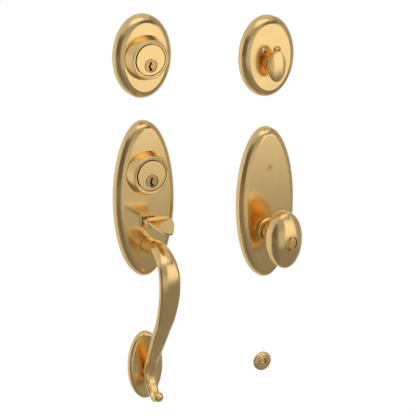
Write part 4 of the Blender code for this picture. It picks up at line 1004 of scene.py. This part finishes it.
def foot_fixing(group):
    """The stepped rosette and screw that hold the grip's foot through the door."""
    screw_bore = SCREW_BORE
    wide = ROSETTE_RADIUS
    pocket = ROSETTE_SCREW_HEAD + SCREW_GAP
    rings = [
        (screw_bore, ROSETTE_OUT - ROSETTE_POCKET),
        (pocket, ROSETTE_OUT - ROSETTE_POCKET),
        (pocket, ROSETTE_OUT),
        (wide * 0.50, ROSETTE_OUT),
        (wide * 0.56, ROSETTE_OUT - ROSETTE_STEP),
        (wide * 0.72, ROSETTE_OUT - ROSETTE_STEP),
        (wide * 0.82, ROSETTE_OUT - 2 * ROSETTE_STEP),
        (wide * 0.94, ROSETTE_OUT - 2.5 * ROSETTE_STEP),
        (wide, ROSETTE_OUT - 3.5 * ROSETTE_STEP),
        (wide, 0.0),
        (screw_bore, 0.0),
    ]
    stand(turned("rosette", softened(rings, EDGE_SOFT / 2), ROUND_STEPS), "foot_rosette", group)
    domed_screw("foot_through_screw", group, 0.0, 0.0, ROSETTE_OUT - ROSETTE_POCKET + SEAT_GAP,
                ROSETTE_SCREW_HEAD, ROSETTE_SCREW_DOME, FOOT_SCREW_REACH, dimpled=True)


class Nodes:
    """Short calls that add nodes to one node tree."""

    def __init__(self, tree):
        self.tree = tree

    def add(self, kind, inputs=None, **settings):
        """Adds a node. Its inputs, by name or number, take values or other nodes' outputs."""
        node = self.tree.nodes.new(kind)
        for name, value in settings.items():
            setattr(node, name, value)
        for place, source in (inputs or {}).items():
            self.feed(node.inputs[place], source)
        return node

    def feed(self, socket, source):
        if isinstance(source, bpy.types.NodeSocket):
            self.tree.links.new(source, socket)
        else:
            socket.default_value = source

    def maths(self, operation, first, second=0.0):
        return self.add("ShaderNodeMath", {0: first, 1: second}, operation=operation).outputs[0]

    def spread(self, source, low, high, to_low=0.0, to_high=1.0):
        """Carries a range of values smoothly to another."""
        values = dict(enumerate((source, low, high, to_low, to_high)))
        return self.add("ShaderNodeMapRange", values, interpolation_type="SMOOTHSTEP").outputs[0]

    def between(self, share, first, second):
        """A number that goes from the first to the second as the share goes from 0 to 1."""
        return self.add("ShaderNodeMix", {"Factor": share, 2: first, 3: second}, data_type="FLOAT").outputs[0]

    def blend_colour(self, share, first, second):
        return self.add("ShaderNodeMix", {"Factor": share, 6: first, 7: second}, data_type="RGBA").outputs[2]

    def steps(self, source, stops):
        """A grey level that runs through (place, level) stops."""
        node = self.add("ShaderNodeValToRGB", {0: source})
        ramp = node.color_ramp
        ramp.interpolation = "EASE"
        while len(ramp.elements) > 1:
            ramp.elements.remove(ramp.elements[-1])
        for index, (place, level) in enumerate(stops):
            element = ramp.elements[0] if index == 0 else ramp.elements.new(place)
            element.position = place
            element.color = (level, level, level, 1.0)
        return node.outputs[0]

    def noise(self, place, scale, detail=3.0, roughness=0.5):
        values = {"Vector": place, "Scale": scale, "Detail": detail, "Roughness": roughness}
        return self.add("ShaderNodeTexNoise", values).outputs["Fac"]

    def stretched(self, place, scale):
        return self.add("ShaderNodeMapping", {"Vector": place, "Scale": scale}).outputs["Vector"]


def new_material(name):
    """A new material, and its node tree in short calls."""
    made = bpy.data.materials.new(name)
    made.use_nodes = True
    return made, Nodes(made.node_tree)


# Brushed grain: stretch of its strands, clouds a metre, and bump
GRAIN_STRETCH = (1.0, 1.0, 0.03)
CLOUD_SCALE = 45.0
BUMP_STRENGTH = 0.03
BUMP_DISTANCE = 0.0001


def brushed_metal(name, colour, stain, rough, grain):
    """A lacquered, brushed metal: fine upright grain, faint clouding in colour and gloss."""
    made, n = new_material(name)
    shader = n.tree.nodes["Principled BSDF"]
    shader.inputs["Metallic"].default_value = 1.0
    place = n.add("ShaderNodeTexCoord").outputs["Object"]
    strands = n.noise(n.stretched(place, GRAIN_STRETCH), grain, 4.0, 0.65)
    clouds = n.noise(place, CLOUD_SCALE, 3.0)
    tone = n.maths("ADD", n.maths("MULTIPLY", strands, 0.55), n.maths("MULTIPLY", clouds, 0.45))
    blend = n.blend_colour(n.spread(tone, 0.35, 0.65), (*colour, 1.0), (*stain, 1.0))
    n.feed(shader.inputs["Base Color"], blend)
    uneven = n.maths("ADD", n.maths("MULTIPLY", strands, 0.6), n.maths("MULTIPLY", clouds, 0.4))
    n.feed(shader.inputs["Roughness"], n.spread(uneven, 0.3, 0.7, rough - 0.025, rough + 0.03))
    bump = n.add("ShaderNodeBump", {"Strength": BUMP_STRENGTH, "Distance": BUMP_DISTANCE, "Height": strands})
    n.feed(shader.inputs["Normal"], bump.outputs["Normal"])
    return made


# Each slot's metal: colour, stain, roughness and strands a metre
finishes = {name: brushed_metal(name, *look) for name, look in {
    "satin_brass": ((0.905, 0.640, 0.280), (0.88, 0.61, 0.255), 0.19, 900.0),
    "plug_brass": ((0.60, 0.405, 0.155), (0.53, 0.35, 0.13), 0.24, 1500.0),
    "steel": ((0.40, 0.40, 0.41), (0.32, 0.32, 0.33), 0.34, 1200.0),
}.items()}

deadbolt_outer((0.0, OUTER_ROSE_Y))
handle_outer((0.0, 0.0))
deadbolt_inner((INDOOR_X, INNER_ROSE_Y))
handle_inner((INDOOR_X, INNER_PLATE_Y))
foot_fixing((INDOOR_X, FOOT_ROSETTE_Y))
for node, cad in frame["nodes"].items():
    for slot in cad.material_slots:
        slot.material = finishes[slot_of_node[node]]


def panel(n, level, turn, rise, across, upwards, soft, light):
    """Lays one soft-edged panel of the studio over the light so far. All angles are degrees."""
    left = n.spread(turn, across[0] - soft, across[0] + soft)
    right = n.spread(turn, across[1] - soft, across[1] + soft, 1.0, 0.0)
    low = n.spread(rise, upwards[0] - soft, upwards[0] + soft)
    high = n.spread(rise, upwards[1] - soft, upwards[1] + soft, 1.0, 0.0)
    mask = n.maths("MULTIPLY", n.maths("MULTIPLY", left, right), n.maths("MULTIPLY", low, high))
    return n.between(mask, level, light)


# The studio round the object, in degrees: (from, to) across, from the door's front to the right, (from, to)
# upwards, and softness. The last number is the level.
STUDIO = [
    ((-170, -98), (-30, 8), 8, 0.74),
    ((-50, 118), (-120, -20), 6, 0.28),
    ((-58, 12), (-24, 12), 7, 0.60),
    ((-64, 30), (12, 48), 8, 0.42),
    ((66, 114), (-22, 46), 8, 0.38),
    ((8, 70), (18, 41), 6, 0.12),
    ((-88, -46), (-120, -12), 8, 0.19),
    ((-90, -48), (-12, 27), 6, 0.14),
    ((-60, 40), (50, 78), 8, 1.30),
]
ROOM_LEVEL = 0.64


def studio_light():
    """A white backdrop for the camera. For the metal, a pale room with soft panels."""
    world = bpy.data.worlds.new("studio")
    bpy.context.scene.world = world
    world.use_nodes = True
    tree = world.node_tree
    n = Nodes(tree)
    path = n.add("ShaderNodeLightPath")
    way = n.add("ShaderNodeSeparateXYZ")
    n.feed(way.inputs[0], n.add("ShaderNodeTexCoord").outputs["Generated"])
    turn = n.maths("ARCTAN2", way.outputs["X"], n.maths("MULTIPLY", way.outputs["Y"], -1.0))
    turn = n.maths("DIVIDE", turn, math.pi / 180)
    rise = n.maths("DIVIDE", n.maths("ARCSINE", way.outputs["Z"]), math.pi / 180)
    level = ROOM_LEVEL
    for across, upwards, soft, light in STUDIO:
        level = panel(n, level, turn, rise, across, upwards, soft, light)
    background = tree.nodes["Background"]
    n.feed(background.inputs["Color"], (1.0, 1.0, 1.0, 1.0))
    n.feed(background.inputs["Strength"], n.between(path.outputs["Is Camera Ray"], level, 1.0))


# The big reflector in front on the right: its place, and its level by height
CARD_Y = -0.55
CARD_LEFT, CARD_RIGHT, CARD_BACK = 0.03, 0.62, -0.15
CARD_LOW, CARD_HIGH = -0.40, 0.46
CARD_SIDE_FADE, CARD_BACK_FADE = 0.07, 0.30
CARD_STEPS = [(-0.40, 0.25), (-0.29, 0.29), (-0.20, 0.50), (-0.12, 0.76), (-0.04, 1.05), (0.15, 1.12),
              (0.34, 1.0), (0.46, 0.15)]


def reflector():
    """A tall soft reflector that the metal sees and the camera doesn't."""
    shape = bmesh.new()
    ends = [(CARD_LEFT, CARD_Y), (CARD_RIGHT, CARD_Y), (CARD_RIGHT, CARD_BACK)]
    low = [shape.verts.new((x, y, CARD_LOW)) for x, y in ends]
    high = [shape.verts.new((x, y, CARD_HIGH)) for x, y in ends]
    for index in (0, 1):
        shape.faces.new((low[index], low[index + 1], high[index + 1], high[index]))
    made = object_from_bmesh("reflector", shape)
    material, n = new_material("reflector")
    nodes = n.tree.nodes
    nodes.remove(nodes["Principled BSDF"])
    place = n.add("ShaderNodeSeparateXYZ")
    n.feed(place.inputs[0], n.add("ShaderNodeTexCoord").outputs["Object"])
    tall = CARD_HIGH - CARD_LOW
    height = n.maths("DIVIDE", n.maths("SUBTRACT", place.outputs["Z"], CARD_LOW), tall)
    level = n.steps(height, [((z - CARD_LOW) / tall, light) for z, light in CARD_STEPS])
    side = n.spread(place.outputs["X"], CARD_LEFT, CARD_LEFT + CARD_SIDE_FADE)
    back = n.spread(place.outputs["Y"], CARD_BACK - CARD_BACK_FADE, CARD_BACK, 1.0, 0.0)
    side = n.maths("MULTIPLY", side, back)
    glow = n.add("ShaderNodeEmission", {"Strength": level})
    clear = n.add("ShaderNodeBsdfTransparent")
    mix = n.add("ShaderNodeMixShader", {0: side, 1: clear.outputs[0], 2: glow.outputs[0]})
    n.feed(nodes["Material Output"].inputs["Surface"], mix.outputs[0])
    made.data.materials.append(material)
    made.visible_camera = False
    made.visible_shadow = False


FLOOR_Z = -0.42
FLOOR_CORNERS = [(-1.2, -1.0), (1.2, -1.0), (1.2, 0.9), (-1.2, 0.9)]
FLOOR_GREY = 0.60
FLOOR_ROUGHNESS = 0.8


def floor():
    """A plain pale floor, white to the camera and not seen in the metal."""
    shape = bmesh.new()
    shape.faces.new([shape.verts.new((x, y, FLOOR_Z)) for x, y in FLOOR_CORNERS])
    made = object_from_bmesh("floor", shape)
    material, n = new_material("pale_floor")
    nodes = n.tree.nodes
    shader = nodes["Principled BSDF"]
    shader.inputs["Base Color"].default_value = (FLOOR_GREY, FLOOR_GREY, FLOOR_GREY, 1.0)
    shader.inputs["Roughness"].default_value = FLOOR_ROUGHNESS
    white = n.add("ShaderNodeEmission", {"Strength": 1.0})
    seen = n.add("ShaderNodeLightPath").outputs["Is Camera Ray"]
    mix = n.add("ShaderNodeMixShader", {0: seen, 1: shader.outputs["BSDF"], 2: white.outputs[0]})
    n.feed(nodes["Material Output"].inputs["Surface"], mix.outputs[0])
    made.data.materials.append(material)
    made.visible_glossy = False


# Camera: angles in degrees, aim and distance in metres, focal length and width in pixels of the picture
CAMERA_AZIMUTH, CAMERA_ELEVATION = -27, 18
CAMERA_AIM = (0.0810, 0.0, -0.02376)
CAMERA_DISTANCE = 2.016
FOCAL_PIXELS, PICTURE_PIXELS = 1800, 416
SENSOR_MM = 36.0

studio_light()
reflector()
floor()

azimuth, elevation = math.radians(CAMERA_AZIMUTH), math.radians(CAMERA_ELEVATION)
back = Vector((math.sin(azimuth) * math.cos(elevation), -math.cos(azimuth) * math.cos(elevation),
               math.sin(elevation)))
camera = bpy.data.objects.new("camera", bpy.data.cameras.new("camera"))
bpy.context.scene.collection.objects.link(camera)
bpy.context.scene.camera = camera
camera.location = Vector(CAMERA_AIM) + back * CAMERA_DISTANCE
camera.rotation_mode = "QUATERNION"
camera.rotation_quaternion = (-back).to_track_quat("-Z", "Y")
camera.data.sensor_width = SENSOR_MM
camera.data.lens = FOCAL_PIXELS / PICTURE_PIXELS * SENSOR_MM
camera.data.clip_start, camera.data.clip_end = 0.05, 10.0
bpy.context.scene.view_settings.view_transform = "Standard"

bpy.context.view_layer.update()
